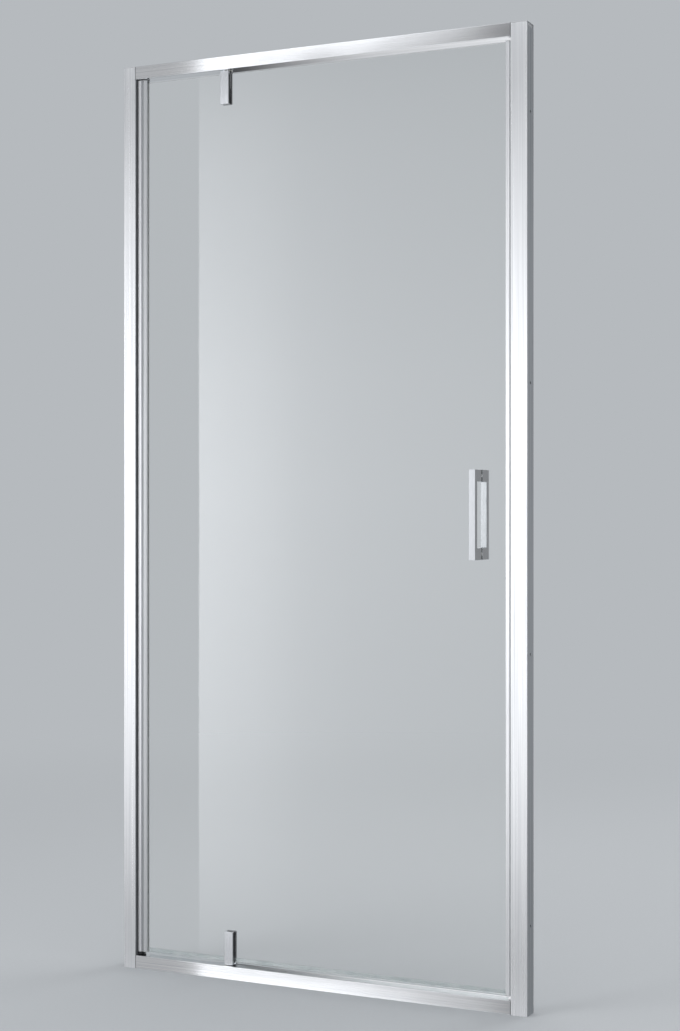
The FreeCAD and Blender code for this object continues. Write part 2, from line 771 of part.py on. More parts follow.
def build_stile_ends():
    """Caps on the ends of the stiles, and the black rubber block at the foot of the hinge stile."""
    stile_y = (-stile_face, stile_face)
    groove_start = leaf_left + stile_groove_from_edge
    slope_start = groove_start + stile_groove_width
    lip_face = stile_face - stile_lip_fall
    stile_outline = [
        (leaf_left, -stile_face),
        (slope_start, -stile_face),
        (hinge_stile_right, -lip_face),
        (hinge_stile_right, lip_face),
        (slope_start, stile_face),
        (leaf_left, stile_face),
    ]
    plug_x = (stile_hollow_x[0] + stile_plug_play, stile_hollow_x[1] - stile_plug_play)
    plug_y = (stile_plug_play - stile_hollow_y, stile_hollow_y - stile_plug_play)
    top_cover = extrusion("XY_Plane", stile_outline, (hinge_stile_top, hinge_stile_top + stile_cap_thickness))
    top_plug = box(plug_x, plug_y, (hinge_stile_top - stile_plug_length, hinge_stile_top))
    latch_x = (latch_stile_left, latch_stile_right)
    latch_top = box(latch_x, stile_y, (leaf_top, leaf_top + stile_cap_thickness))
    latch_foot = box(latch_x, stile_y, (leaf_bottom - stile_cap_thickness, leaf_bottom))
    node("stile_end_caps", group([join(top_cover, top_plug), latch_top, latch_foot]))
    foot = box((leaf_left, groove_start), stile_y, (rail_face + foot_block_gap, leaf_bottom))
    foot_plug = box(plug_x, plug_y, (leaf_bottom, leaf_bottom + stile_plug_length))
    node("stile_foot_block", join(foot, foot_plug))


def build_drip_seal(label, x_ends):
    """Clear seal that grips the bottom edge of the glass, with a lip that throws drips inwards."""
    outer = glass_face + drip_seal_wall
    grip_top = leaf_bottom + drip_seal_grip
    base = leaf_bottom - drip_seal_wall
    lip_tip = rail_face + drip_seal_lip_gap
    outline = [
        (-glass_face, grip_top),
        (-outer, grip_top),
        (-outer, base),
        (glass_face - drip_seal_wall, base),
        (glass_face + drip_seal_lip_throw, lip_tip),
        (glass_face + drip_seal_lip_throw + drip_seal_wall, lip_tip),
        (outer, base),
        (outer, grip_top),
        (glass_face, grip_top),
        (glass_face, leaf_bottom),
        (-glass_face, leaf_bottom),
    ]
    return node(label, extrusion("YZ_Plane", outline, x_ends))


def build_hinge(name, at_bottom, side):
    """One pivot hinge: two half blocks that clamp the glass, their pads and screws, and the pin."""
    end, into = hinge_ends(at_bottom)
    x_ends = block_x_ends(side)
    z_ends = span(end, end + block_height * into)
    plate_face = glass_face + block_pad_thickness
    half_depth = block_depth / 2
    core_z = span(end, end + core_height * into)
    screw_x = block_screw_x(side)
    screw_heights = [end + near_screw_from_end * into, end + far_screw_from_end * into]
    into_leaf = "+Z" if at_bottom else "-Z"

    face_edges = lies_on(1, -half_depth)
    front_plate = extrusion("XZ_Plane", rectangle(x_ends, z_ends), (-half_depth, -plate_face),
                            rounds=(block_round, face_edges))
    core = box(core_x_ends(side, zero), (-plate_face, plate_face), core_z)
    pin_hole = rod(pin_radius + pin_seat_play, pin_in_block, pivot_x, zero, end, into_leaf)
    thread_depth = block_depth - clamp_screw_end_skin
    threads = [
        rod(clamp_screw_radius + clamp_screw_play, thread_depth, screw_x, half_depth, z, "-Y")
        for z in screw_heights
    ]
    node(name + "_front_block", cut(join(front_plate, core), pin_hole, *threads))

    back_edges = lies_on(1, half_depth)
    back_plate = extrusion("XZ_Plane", rectangle(x_ends, z_ends), (plate_face, half_depth),
                           rounds=(block_round, back_edges))
    seats = []
    screws = []
    for z in screw_heights:
        seats.append(rod(clamp_screw_radius + clamp_screw_play, block_depth, screw_x, half_depth, z, "-Y"))
        seats.append(cone(
            clamp_screw_head_radius + clamp_screw_play, clamp_screw_radius + clamp_screw_play,
            clamp_screw_head_height, screw_x, half_depth, z, "-Y",
        ))
        head = cone(clamp_screw_head_radius, clamp_screw_radius, clamp_screw_head_height,
                    screw_x, half_depth, z, "-Y")
        shank = rod(clamp_screw_radius, thread_depth - clamp_screw_play, screw_x, half_depth, z, "-Y")
        socket = doc.addObject("Part::Prism", "socket")
        socket.Polygon = 6
        bind(socket, "Circumradius", screw_socket_radius)
        bind(socket, "Height", screw_socket_depth)
        move_to(socket, screw_x, half_depth, z, TURNS["-Y"])
        screws.append(cut(join(head, shank), socket))
    node(name + "_back_block", cut(back_plate, *seats))
    node(name + "_screws", group(screws))

    pads = []
    pad_inset = core_inset / 2
    glass_edge = leaf_bottom if at_bottom else leaf_top
    pad_z = span(glass_edge, end + (block_height - pad_inset) * into)
    for y_ends in ((-plate_face, -glass_face), (glass_face, plate_face)):
        pad_x = (x_ends[0] + pad_inset, x_ends[1] - pad_inset)
        pad = box(pad_x, y_ends, pad_z)
        room = box(core_x_ends(side, notch_play), y_ends, span(end, end + (core_height + notch_play) * into))
        hole = rod(glass_hole_radius, glass_thickness * 2, screw_x, -glass_thickness, screw_heights[1], "+Y")
        pads.append(cut(pad, room, hole))
    node(name + "_pads", group(pads))

    rail_surface = rail_face if at_bottom else opening_top
    pin_tip = rail_surface - (bush_bore_depth - pin_end_gap) * into
    pin_length = bush_bore_depth - pin_end_gap + block_rail_gap + pin_in_block
    node(name + "_pin", rod(pin_radius, pin_length, pivot_x, zero, pin_tip, into_leaf))


# ---------------------------------------------------------------- the handles

def build_handle(name, out):
    """One C-shaped handle: a square bar on two legs. It stands out towards -Y or +Y."""
    seat = (glass_face + handle_washer_thickness) * out
    face = (glass_face + handle_reach) * out
    bar_back = face - handle_bar_thickness * out
    low = handle_z - handle_length / 2
    high = handle_z + handle_length / 2
    outline = [
        (seat, low),
        (face, low),
        (face, high),
        (seat, high),
        (seat, high - handle_leg_height),
        (bar_back, high - handle_leg_height),
        (bar_back, low + handle_leg_height),
        (seat, low + handle_leg_height),
    ]
    x_ends = (handle_x - handle_width / 2, handle_x + handle_width / 2)
    x_sides = lies_on(0, *x_ends)
    outer_corners = runs_along(0, (face, low), (face, high))

    def is_rounded(edge):
        return x_sides(edge) or outer_corners(edge)

    shape = extrusion("YZ_Plane", outline, x_ends, rounds=(handle_round, is_rounded))
    towards = "-Y" if out < 0 else "+Y"
    tools = []
    for z, grub_way in zip(stud_heights, ("-Z", "+Z")):
        tools.append(rod(stud_radius + stud_play, stud_bite + stud_play, handle_x, seat, z, towards))
        grub_y = seat + grub_from_glass * out
        tools.append(rod(grub_radius + stud_play, handle_leg_height / 2 + stud_play, handle_x, grub_y, z,
                         "+Z" if grub_way == "-Z" else "-Z"))
    return node(name, cut(shape, *tools))


def build_handle_fixings():
    sleeve_radius = stud_glass_hole_radius - sleeve_play
    seat = glass_face + handle_washer_thickness
    studs = []
    sleeves = []
    washers = []
    grubs = []
    for z, towards in zip(stud_heights, ("+Z", "-Z")):
        studs.append(rod(stud_radius, (seat + stud_bite) * 2, handle_x, -seat - stud_bite, z, "+Y"))
        sleeve = rod(sleeve_radius, glass_thickness, handle_x, -glass_face, z, "+Y")
        bore = rod(stud_radius + stud_play, glass_thickness, handle_x, -glass_face, z, "+Y")
        sleeves.append(cut(sleeve, bore))
        for out in (-1, 1):
            y_ends = span(glass_face * out, seat * out)
            half_width = handle_width / 2 - handle_washer_inset
            half_height = handle_leg_height / 2 - handle_washer_inset
            pad = box((handle_x - half_width, handle_x + half_width), y_ends, (z - half_height, z + half_height))
            hole = rod(stud_radius + stud_play, glass_thickness * 3, handle_x, -glass_thickness * 1.5, z, "+Y")
            washers.append(cut(pad, hole))
            start = z + (stud_radius + stud_play) * (1 if towards == "+Z" else -1)
            grubs.append(rod(grub_radius, grub_length, handle_x, (seat + grub_from_glass) * out, start, towards))
    node("handle_studs", group(studs))
    node("handle_stud_sleeves", group(sleeves))
    node("handle_washers", group(washers))
    node("handle_grub_screws", group(grubs))


# ---------------------------------------------------------------- assembly

stud_heights = [
    handle_z - handle_length / 2 + handle_leg_height / 2,
    handle_z + handle_length / 2 - handle_leg_height / 2,
]
stile_hollow_x = (leaf_left + stile_wall, hinge_stile_right - hinge_stile_slot_depth - stile_wall)
stile_hollow_y = stile_face - stile_groove_depth - stile_wall

build_hinge_jamb()
build_latch_jamb()
build_wall_channel("hinge_wall_channel", left, 1, left + jamb_screw_from_wall)
build_wall_channel("latch_wall_channel", right, -1, right - jamb_screw_from_wall)
build_rail("bottom_rail", zero, rail_face, "-Z")
build_rail("top_rail", opening_top, opening_top, "+Z")
build_joint_pads("hinge_side_joint_pads", (opening_left, opening_left + joint_pad_thickness))
build_joint_pads("latch_side_joint_pads", (opening_right - joint_pad_thickness, opening_right))
build_jamb_caps()
build_frame_screws()
build_jamb_seals()
build_bush("bottom_pivot_bush", rail_face, "-Z", "+Z")
build_bush("top_pivot_bush", opening_top, "+Z", "-Z")

build_glass()
build_hinge_stile()
build_latch_stile()
build_leaf_magnet()
build_liner("hinge_glazing_liner", hinge_stile_right - hinge_stile_slot_depth, hinge_stile_right, 1)
build_liner("latch_glazing_liner", latch_stile_left + latch_stile_slot_depth, latch_stile_left, -1)
build_stile_ends()
bottom_block = block_x_ends(1)
hinge_side_end = hinge_stile_right + liner_stand_out
build_drip_seal("hinge_side_drip_seal", (hinge_side_end, bottom_block[0] - drip_seal_end_gap))
latch_side_end = latch_stile_left - liner_stand_out
build_drip_seal("latch_side_drip_seal", (bottom_block[1] + drip_seal_end_gap, latch_side_end))
build_hinge("bottom_hinge", True, 1)
build_hinge("top_hinge", False, -1)
build_handle("outer_handle", -1)
build_handle("inner_handle", 1)
build_handle_fixings()
doc.recompute()

# ---------------------------------------------------------------- checks and files

for item in doc.Objects:
    if "Invalid" in item.State or "Error" in item.State:
        raise RuntimeError(f"{item.Label} did not build: {item.State}")
for label, piece in nodes.items():
    if piece.Shape.isNull() or not piece.Shape.isValid():
        raise RuntimeError(f"{label} has no valid shape")

os.makedirs("parts", exist_ok=True)
for label, piece in nodes.items():
    piece.Shape.exportStep(f"parts/{label}.step")
    print(f"{label}: {len(piece.Shape.Solids)} solids, {piece.Shape.Volume / 1000:.2f} cm3")
print(f"{len(nodes)} nodes written")
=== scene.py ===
import json
import math
import bmesh
import bpy
from mathutils import Matrix, Vector


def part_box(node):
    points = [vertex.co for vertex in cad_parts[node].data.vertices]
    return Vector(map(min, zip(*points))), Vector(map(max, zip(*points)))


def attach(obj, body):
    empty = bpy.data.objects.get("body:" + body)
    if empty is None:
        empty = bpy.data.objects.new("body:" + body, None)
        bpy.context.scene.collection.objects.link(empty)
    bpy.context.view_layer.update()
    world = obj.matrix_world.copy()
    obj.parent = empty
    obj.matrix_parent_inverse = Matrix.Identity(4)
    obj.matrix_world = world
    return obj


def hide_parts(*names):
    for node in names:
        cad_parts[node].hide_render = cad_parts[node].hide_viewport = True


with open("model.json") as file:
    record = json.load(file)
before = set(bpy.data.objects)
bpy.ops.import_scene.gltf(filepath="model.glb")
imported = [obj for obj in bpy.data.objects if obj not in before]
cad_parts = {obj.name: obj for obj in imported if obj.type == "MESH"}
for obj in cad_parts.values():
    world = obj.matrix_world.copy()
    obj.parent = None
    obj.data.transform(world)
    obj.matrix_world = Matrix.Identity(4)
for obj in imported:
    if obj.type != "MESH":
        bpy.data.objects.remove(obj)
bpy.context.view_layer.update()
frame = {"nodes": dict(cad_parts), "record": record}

# Pivot shower door: a bright aluminium frame for an alcove and one clear glass leaf on two pivots.
# The scene is in metres, and the sizes of pieces and patterns are written in mm. The frame's front is towards
# -Y, and the leaf turns about an upright axis.

mm = 0.001
middleHeight = 0.9  # metres: a piece that starts lower is at the door's foot, and any other is at its head
scene = bpy.context.scene
slotOf = {part["node"]: part["material_slot"] for part in frame["record"]["subparts"]}
bodyOf = {node: body for body, nodes in frame["record"]["behaviour"]["bodies"].items() for node in nodes}


# camera, seen from the right at a little above half the door's height

cameraValues = {
    "place": (1.6245, -3.341, 0.975),
    "turnLeft": 25.28,  # degrees from straight at the door
    "lens": 64.25,
    "sensor": 36.0,  # up the long side of the picture
    "shiftUp": -0.0097,
}


def addCamera(values):
    data = bpy.data.cameras.new("photoCamera")
    data.sensor_fit = "VERTICAL"
    data.sensor_height = values["sensor"]
    data.sensor_width = values["sensor"]
    data.lens = values["lens"]
    data.shift_y = values["shiftUp"]
    data.dof.use_dof = False
    data.clip_end = 200
    camera = bpy.data.objects.new("photoCamera", data)
    camera.location = values["place"]
    camera.rotation_euler = (math.radians(90), 0, math.radians(values["turnLeft"]))
    scene.collection.objects.link(camera)
    scene.camera = camera


addCamera(cameraValues)
print("camera placed")


# node helpers

def linearColour(code):
    # an sRGB hex code, as a picker shows it, turned to the linear values that shaders take
    parts = [int(code[i:i + 2], 16) / 255 for i in (1, 3, 5)]
    return [p / 12.92 if p <= 0.04045 else ((p + 0.055) / 1.055) ** 2.4 for p in parts] + [1.0]


def addNode(tree, kind, settings={}, links={}):
    # settings are the node's own properties or its sockets' plain values, links are sockets to join
    made = tree.nodes.new(kind)
    for name, value in settings.items():
        if isinstance(name, str) and hasattr(made, name):
            setattr(made, name, value)
        else:
            made.inputs[name].default_value = value
    for name, source in links.items():
        tree.links.new(source, made.inputs[name])
    return made


def startMaterial(name):
    material = bpy.data.materials.new(name)
    material.use_nodes = True
    material.node_tree.nodes.clear()
    return material, material.node_tree


def endMaterial(tree, surface, volume=None):
    links = {"Surface": surface.outputs[0]}
    if volume:
        links["Volume"] = volume.outputs[0]
    addNode(tree, "ShaderNodeOutputMaterial", {}, links)


def grain(tree, cell, stretch=(1, 1, 1), detail=2.0, distortion=0.0):
    # noise fixed to the piece: its cells are so many mm across, and drawn out by the stretch along X, Y and Z
    place = addNode(tree, "ShaderNodeTexCoord")
    sized = addNode(
        tree, "ShaderNodeMapping", {"Scale": [1 / s for s in stretch]}, {"Vector": place.outputs["Object"]},
    )
    noise = addNode(
        tree, "ShaderNodeTexNoise",
        {"Scale": 1 / (cell * mm), "Detail": detail, "Distortion": distortion},
        {"Vector": sized.outputs["Vector"]},
    )
    return noise.outputs["Fac"]


noiseSpan = {"From Min": 0.3, "From Max": 0.7}  # a noise pattern stays about within these


def tinted(tree, pattern, colours):
    # a colour that changes between two over a pattern
    share = addNode(tree, "ShaderNodeMapRange", noiseSpan, {"Value": pattern})
    both = {"data_type": "RGBA", 6: linearColour(colours[0]), 7: linearColour(colours[1])}
    return addNode(tree, "ShaderNodeMix", both, {0: share.outputs["Result"]}).outputs[2]


def layFinish(material, tree, tint, wear, raised, values, settings={}):
    # the end that most finishes share: one pattern tints the colour, one dulls it and one is raised
    colour = tinted(tree, tint, values["colours"])
    dullness = addNode(
        tree, "ShaderNodeMapRange",
        {**noiseSpan, "To Min": values["smooth"], "To Max": values["rough"]}, {"Value": wear},
    )
    bump = addNode(
        tree, "ShaderNodeBump", {"Strength": values["relief"], "Distance": values["depth"] * mm},
        {"Height": raised},
    )
    shader = addNode(
        tree, "ShaderNodeBsdfPrincipled", settings,
        {"Base Color": colour, "Roughness": dullness.outputs["Result"], "Normal": bump.outputs["Normal"]},
    )
    endMaterial(tree, shader)
    return material


# finishes

# Sizes and depths of patterns are in mm, and a size is that of a pattern's cells. The colour changes between
# two, the roughness goes from smooth to rough, and relief is the share of the depth that shows.

alongZ = (1, 1, 300)  # how far a line runs along a profile, in widths of the line
alongX = (300, 1, 1)

aluminium = {
    "frame": {"colours": ("#F7F8F9", "#DCDEE0"), "smooth": 0.26, "rough": 0.34, "smear": 0.9, "line": 1.8},
    "rail": {"colours": ("#F7F8F9", "#DCDEE0"), "smooth": 0.075, "rough": 0.10, "smear": 1.0, "line": 1.8},
    "stile": {"colours": ("#F7F8F9", "#E4E6E8"), "smooth": 0.30, "rough": 0.38, "smear": 0.9, "line": 1.4},
    # the groove's colours are darker than the stile's as painted shade in the recess, and its higher
    # roughness is the dull etched finish
    "groove": {"colours": ("#C0C2C5", "#B0B2B5"), "smooth": 0.46, "rough": 0.56, "smear": 0.9, "line": 1.0},
    "channel": {"colours": ("#D6D8DA", "#B9BCBF"), "smooth": 0.40, "rough": 0.52, "smear": 0.9, "line": 2.6},
}
brushing = {
    "relief": 0.15, "depth": 0.02,
    "cloud": 90, "cloudStretch": 3, "smoother": -0.015, "rougher": 0.03,  # where hands have dulled it
}


def brushedAluminium(name, kind, along):
    # Anodised aluminium, drawn through a die and brushed lengthwise: a bright metal whose highlights smear
    # across the brushing and stay sharp along it. The brushing lines are 0.3 mm apart on the real profile
    # and are drawn as coarse as "line" says, so that they show.
    values = {**brushing, **aluminium[kind]}
    material, tree = startMaterial(name)
    lines = grain(tree, values["line"], alongZ if along == "Z" else alongX, detail=3.0)
    drawnOut = values["cloudStretch"]
    clouds = grain(tree, values["cloud"], (1, 1, drawnOut) if along == "Z" else (drawnOut, 1, 1))
    colour = tinted(tree, lines, values["colours"])
    brushed = addNode(
        tree, "ShaderNodeMapRange",
        {**noiseSpan, "To Min": values["smooth"], "To Max": values["rough"]}, {"Value": lines},
    )
    touched = addNode(
        tree, "ShaderNodeMapRange",
        {**noiseSpan, "To Min": values["smoother"], "To Max": values["rougher"]}, {"Value": clouds},
    )
    dullness = addNode(
        tree, "ShaderNodeMath", {"operation": "ADD"},
        {0: brushed.outputs["Result"], 1: touched.outputs["Result"]},
    )
    direction = addNode(tree, "ShaderNodeCombineXYZ", {"X": float(along == "X"), "Z": float(along == "Z")})
    bump = addNode(
        tree, "ShaderNodeBump", {"Strength": values["relief"], "Distance": values["depth"] * mm},
        {"Height": lines},
    )
    shader = addNode(
        tree, "ShaderNodeBsdfPrincipled",
        {"Metallic": 1.0, "Anisotropic": values["smear"], "Anisotropic Rotation": 0.25},
        {
            "Base Color": colour,
            "Roughness": dullness.outputs[0],
            "Normal": bump.outputs["Normal"],
            "Tangent": direction.outputs[0],
        },
    )
    endMaterial(tree, shader)
    return material


chrome = {
    "colours": ("#DDDFE2", "#D3D6D9"), "smooth": 0.07, "rough": 0.13, "relief": 0.2, "depth": 0.02,
    "wheel": 16, "wipes": 3.0, "wipeStretch": (1, 1, 6),
}


def chromePlate(values):
    # Polished zinc casting under bright chrome: a cool mirror, barely uneven from the polishing wheel, with a
    # thin film of wiping marks.
    material, tree = startMaterial("polishedChrome")
    wheel = grain(tree, values["wheel"], detail=0.0)
    wipes = grain(tree, values["wipes"], values["wipeStretch"], detail=4.0, distortion=0.4)
    return layFinish(material, tree, wipes, wipes, wheel, values, {"Metallic": 1.0})


clearGlass = {
    "ior": 1.52,
    "edgeTint": "#CFEBDD",
    "tintPerMetre": 6.0,
    "relief": 0.4,
    "depth": 0.25,
    "waves": 260,
    "waveStretch": (3, 1, 1),
    "wiping": 55,
    "wipeStretch": (1.6, 1, 1),
    "haze": 0.016,  # roughness where the wiping shows most
    "grinding": 1.2,
    "groundSmooth": 0.16,
    "groundRough": 0.26,
    "edgeUpTo": (0.80, 0.95),  # how much of a normal is along Y where a ground edge turns into the pane
}


def toughenedGlass(values):
    # Clear float glass, heat toughened, with ground and polished edges: no colour across its 6 mm, green
    # where light runs along the pane, the slight waves that the furnace rollers leave and a little haze from
    # wiping. The ground edges are duller than the faces.
    material, tree = startMaterial("clearToughenedGlass")
    waves = grain(tree, values["waves"], values["waveStretch"], detail=0.0)
    wiping = grain(tree, values["wiping"], values["wipeStretch"], detail=4.0, distortion=0.8)
    grinding = grain(tree, values["grinding"])
    place = addNode(tree, "ShaderNodeTexCoord")
    facing = addNode(tree, "ShaderNodeSeparateXYZ", {}, {0: place.outputs["Normal"]})
    square = addNode(tree, "ShaderNodeMath", {"operation": "ABSOLUTE"}, {0: facing.outputs["Y"]})
    onEdge = addNode(
        tree, "ShaderNodeMapRange",
        {"From Min": values["edgeUpTo"][0], "From Max": values["edgeUpTo"][1], "To Min": 1, "To Max": 0},
        {"Value": square.outputs[0]},
    )
    hazy = addNode(
        tree, "ShaderNodeMapRange", {**noiseSpan, "To Min": 0.0, "To Max": values["haze"]}, {"Value": wiping},
    )
    ground = addNode(
        tree, "ShaderNodeMapRange",
        {**noiseSpan, "To Min": values["groundSmooth"], "To Max": values["groundRough"]}, {"Value": grinding},
    )
    dullness = addNode(
        tree, "ShaderNodeMix", {},
        {0: onEdge.outputs["Result"], 2: hazy.outputs["Result"], 3: ground.outputs["Result"]},
    )
    bump = addNode(
        tree, "ShaderNodeBump", {"Strength": values["relief"], "Distance": values["depth"] * mm},
        {"Height": waves},
    )
    shader = addNode(
        tree, "ShaderNodeBsdfPrincipled",
        {"Base Color": (1, 1, 1, 1), "Transmission Weight": 1.0, "IOR": values["ior"]},
        {"Roughness": dullness.outputs[0], "Normal": bump.outputs["Normal"]},
    )
    inside = addNode(
        tree, "ShaderNodeVolumeAbsorption",
        {"Color": linearColour(values["edgeTint"]), "Density": values["tintPerMetre"]},
    )
    endMaterial(tree, shader, inside)
    return material


rubberColours = {
    "black": ("#222326", "#313236"), "darkGrey": ("#4E5053", "#5C5E61"), "grey": ("#5B5D60", "#6B6D70"),
}
rubberSkin = {
    "shine": 0.35, "smooth": 0.55, "rough": 0.75, "relief": 0.4, "depth": 0.05,
    "drag": 1.2, "dragStretch": (1, 1, 60), "bloom": 35,
}


def rubber(name, kind):
    # Extruded EPDM rubber: matt and slightly bloomed, with the fine drag marks of the die.
    values = {**rubberSkin, "colours": rubberColours[kind]}
    material, tree = startMaterial(name)
    drag = grain(tree, values["drag"], values["dragStretch"])
    bloom = grain(tree, values["bloom"], detail=3.0)
    return layFinish(material, tree, bloom, drag, drag, values, {"Specular IOR Level": values["shine"]})


vinyl = {
    "clear": {"colours": ("#FAFCFC", "#EEF3F3"), "through": 0.94, "smooth": 0.06, "rough": 0.16},
    "milky": {"colours": ("#F4F6F6", "#E6EAEA"), "through": 0.35, "smooth": 0.18, "rough": 0.32},
}
vinylSkin = {"ior": 1.53, "relief": 0.3, "depth": 0.03, "streak": 1.5, "cloud": 22}


def softVinyl(name, kind, along):
    # Plasticised PVC, extruded: see-through or milky, with a waxy shine and long extrusion streaks.
    values = {**vinylSkin, **vinyl[kind]}
    material, tree = startMaterial(name)
    streaks = grain(tree, values["streak"], alongZ if along == "Z" else alongX)
    clouds = grain(tree, values["cloud"])
    clearness = {"Transmission Weight": values["through"], "IOR": values["ior"]}
    return layFinish(material, tree, clouds, streaks, streaks, values, clearness)


magnetSkin = {
    "colours": ("#C9CCCE", "#BEC1C3"), "smooth": 0.38, "rough": 0.52, "relief": 0.35, "depth": 0.04,
    "drag": 1.4, "cloud": 60,
}


def magnetVinyl(values):
    # Grey PVC drawn over a rubber magnet: even, satin, marked lengthwise by the die.
    material, tree = startMaterial("greyMagnetVinyl")
    drag = grain(tree, values["drag"], alongZ)
    clouds = grain(tree, values["cloud"], detail=3.0)
    return layFinish(material, tree, clouds, drag, drag, values)


mouldings = {
    "cap": {"colours": ("#BEC0C3", "#B2B4B7"), "smooth": 0.30, "rough": 0.42, "grit": 0.8},
    "nylon": {"colours": ("#E3E1DA", "#D9D7CF"), "smooth": 0.35, "rough": 0.50, "grit": 0.6},
}
mouldSkin = {"relief": 0.35, "depth": 0.05, "flow": 14}


def mouldedPlastic(name, kind):
    # Injection-moulded plastic: an even colour under the fine grit that is etched into the mould.
    values = {**mouldSkin, **mouldings[kind]}
    material, tree = startMaterial(name)
    grit = grain(tree, values["grit"])
    flow = grain(tree, values["flow"])
    return layFinish(material, tree, flow, grit, grit, values)


steel = {
    "colours": ("#CFCFCE", "#B8B8B8"), "smooth": 0.22, "rough": 0.36, "relief": 0.3, "depth": 0.01,
    "marks": 0.6, "stain": 5,
}


def stainlessSteel(values):
    # Turned stainless steel: greyer than the aluminium, with fine tool marks.
    material, tree = startMaterial("turnedStainlessSteel")
    marks = grain(tree, values["marks"], detail=3.0)
    stain = grain(tree, values["stain"])
    return layFinish(material, tree, stain, marks, marks, values, {"Metallic": 1.0})


finishes = {
    "frame_aluminium": brushedAluminium("brightAluminiumUpright", "frame", "Z"),
    "stile_aluminium": brushedAluminium("satinAluminiumUpright", "stile", "Z"),
    "channel_aluminium": brushedAluminium("millAluminiumUpright", "channel", "Z"),
    "chrome": chromePlate(chrome),
    "clear_glass": toughenedGlass(clearGlass),
    "black_rubber": rubber("blackRubber", "black"),
    "grey_rubber": rubber("greyRubber", "grey"),
    "clear_vinyl": softVinyl("clearSoftVinyl", "clear", "X"),
    "magnet_vinyl": magnetVinyl(magnetSkin),
    "cap_plastic": mouldedPlastic("silverGreyMouldedCap", "cap"),
    "nylon": mouldedPlastic("whiteNylon", "nylon"),
    "screw_steel": stainlessSteel(steel),
}
railFinish = brushedAluminium("brightAluminiumAcross", "rail", "X")
# the groove's finish: dull etched aluminium, its colour darkened as painted shade in the recess
shadedGrooveFinish = brushedAluminium("etchedAluminiumGrooveWithPaintedShade", "groove", "Z")
uprightVinyl = softVinyl("clearSoftVinylUpright", "clear", "Z")
linerFinish = softVinyl("milkySoftVinyl", "milky", "Z")
gasketFinish = rubber("darkGreyRubber", "darkGrey")
seeThrough = ("clear_glass", "clear_vinyl")

ownFinishes = {"top_rail": railFinish, "bottom_rail": railFinish, "stop_buffer": uprightVinyl}
for name, piece in frame["nodes"].items():
    piece.data.materials.clear()
    piece.data.materials.append(ownFinishes.get(name, finishes[slotOf[name]]))
    piece.visible_shadow = slotOf[name] not in seeThrough
print("finishes on", len(frame["nodes"]), "pieces")


# mesh helpers

meshing = {
    "weldWithin": 0.000005,  # metres: points as near as this are made one
    "cutWithin": 0.0000001,  # metres: points as near as this to a cut are taken as on it
    "onPlane": 0.00001,  # metres: the same for points beside a piece's own flat faces
    "facing": 0.99,  # a face whose normal has more than this along a direction is turned that way
    "corner": 1.2,  # radians: two faces that turn by more than this meet at a corner
    "sharpFrom": 38,  # degrees: edges that turn by more than this stay sharp
    "bevelSteps": 4,
    "holeSteps": 32,
    "turnSteps": 36,
}


def cuboid(shape, low, high):
    # a block between two corners, in metres
    made = bmesh.ops.create_cube(shape, size=1.0)["verts"]
    bmesh.ops.scale(shape, vec=[h - l for l, h in zip(low, high)], verts=made)
    bmesh.ops.translate(shape, vec=[(l + h) / 2 for l, h in zip(low, high)], verts=made)
    shape.normal_update()
    return made


def edgesOf(verts):
    return list({edge for vert in verts for edge in vert.link_edges})


def vertsIn(geometry):
    return [item for item in geometry if isinstance(item, bmesh.types.BMVert)]


def cutAcross(shape, height):
    bmesh.ops.bisect_plane(
        shape, geom=shape.verts[:] + shape.edges[:] + shape.faces[:], dist=meshing["cutWithin"],
        plane_co=(0, 0, height), plane_no=(0, 0, 1),
    )


def nearestFlat(shape, towards, middle):
    # of the faces that are turned one way, the one whose middle is nearest
    return min(
        (spot for spot in shape.faces if spot.normal.dot(towards) > meshing["facing"]),
        key=lambda spot: (spot.calc_center_median() - middle).length,
    )


def softenEdges(shape, edges, radius, segments=meshing["bevelSteps"]):
    bmesh.ops.bevel(
        shape, geom=edges, offset=radius * mm, offset_type="OFFSET", segments=segments, profile=0.5,
        affect="EDGES", clamp_overlap=True, material=-1,
    )
    shape.normal_update()


def drawProfile(shape, corners, along, low, high):
    # draws a section out along X or Z between two places in metres: its corners are (first, second, rounding)
    # in mm on the two other axes
    before = set(shape.faces)
    lay = {"X": lambda a, b: (low, a, b), "Z": lambda a, b: (a, b, low)}[along]
    verts = [shape.verts.new(lay(first * mm, second * mm)) for first, second, rounding in corners]
    shape.faces.new(verts)
    for radius in sorted({rounding for first, second, rounding in corners if rounding}):
        picked = [vert for vert, corner in zip(verts, corners) if corner[2] == radius]
        bmesh.ops.bevel(
            shape, geom=picked, offset=radius * mm, offset_type="OFFSET", segments=meshing["bevelSteps"],
            profile=0.5, affect="VERTICES", clamp_overlap=True, material=-1,
        )
    outline = [face for face in shape.faces if face not in before]
    drawn = bmesh.ops.extrude_face_region(shape, geom=outline)["geom"]
    way = {"X": (high - low, 0, 0), "Z": (0, 0, high - low)}[along]
    bmesh.ops.translate(shape, vec=way, verts=vertsIn(drawn))
    shape.normal_update()


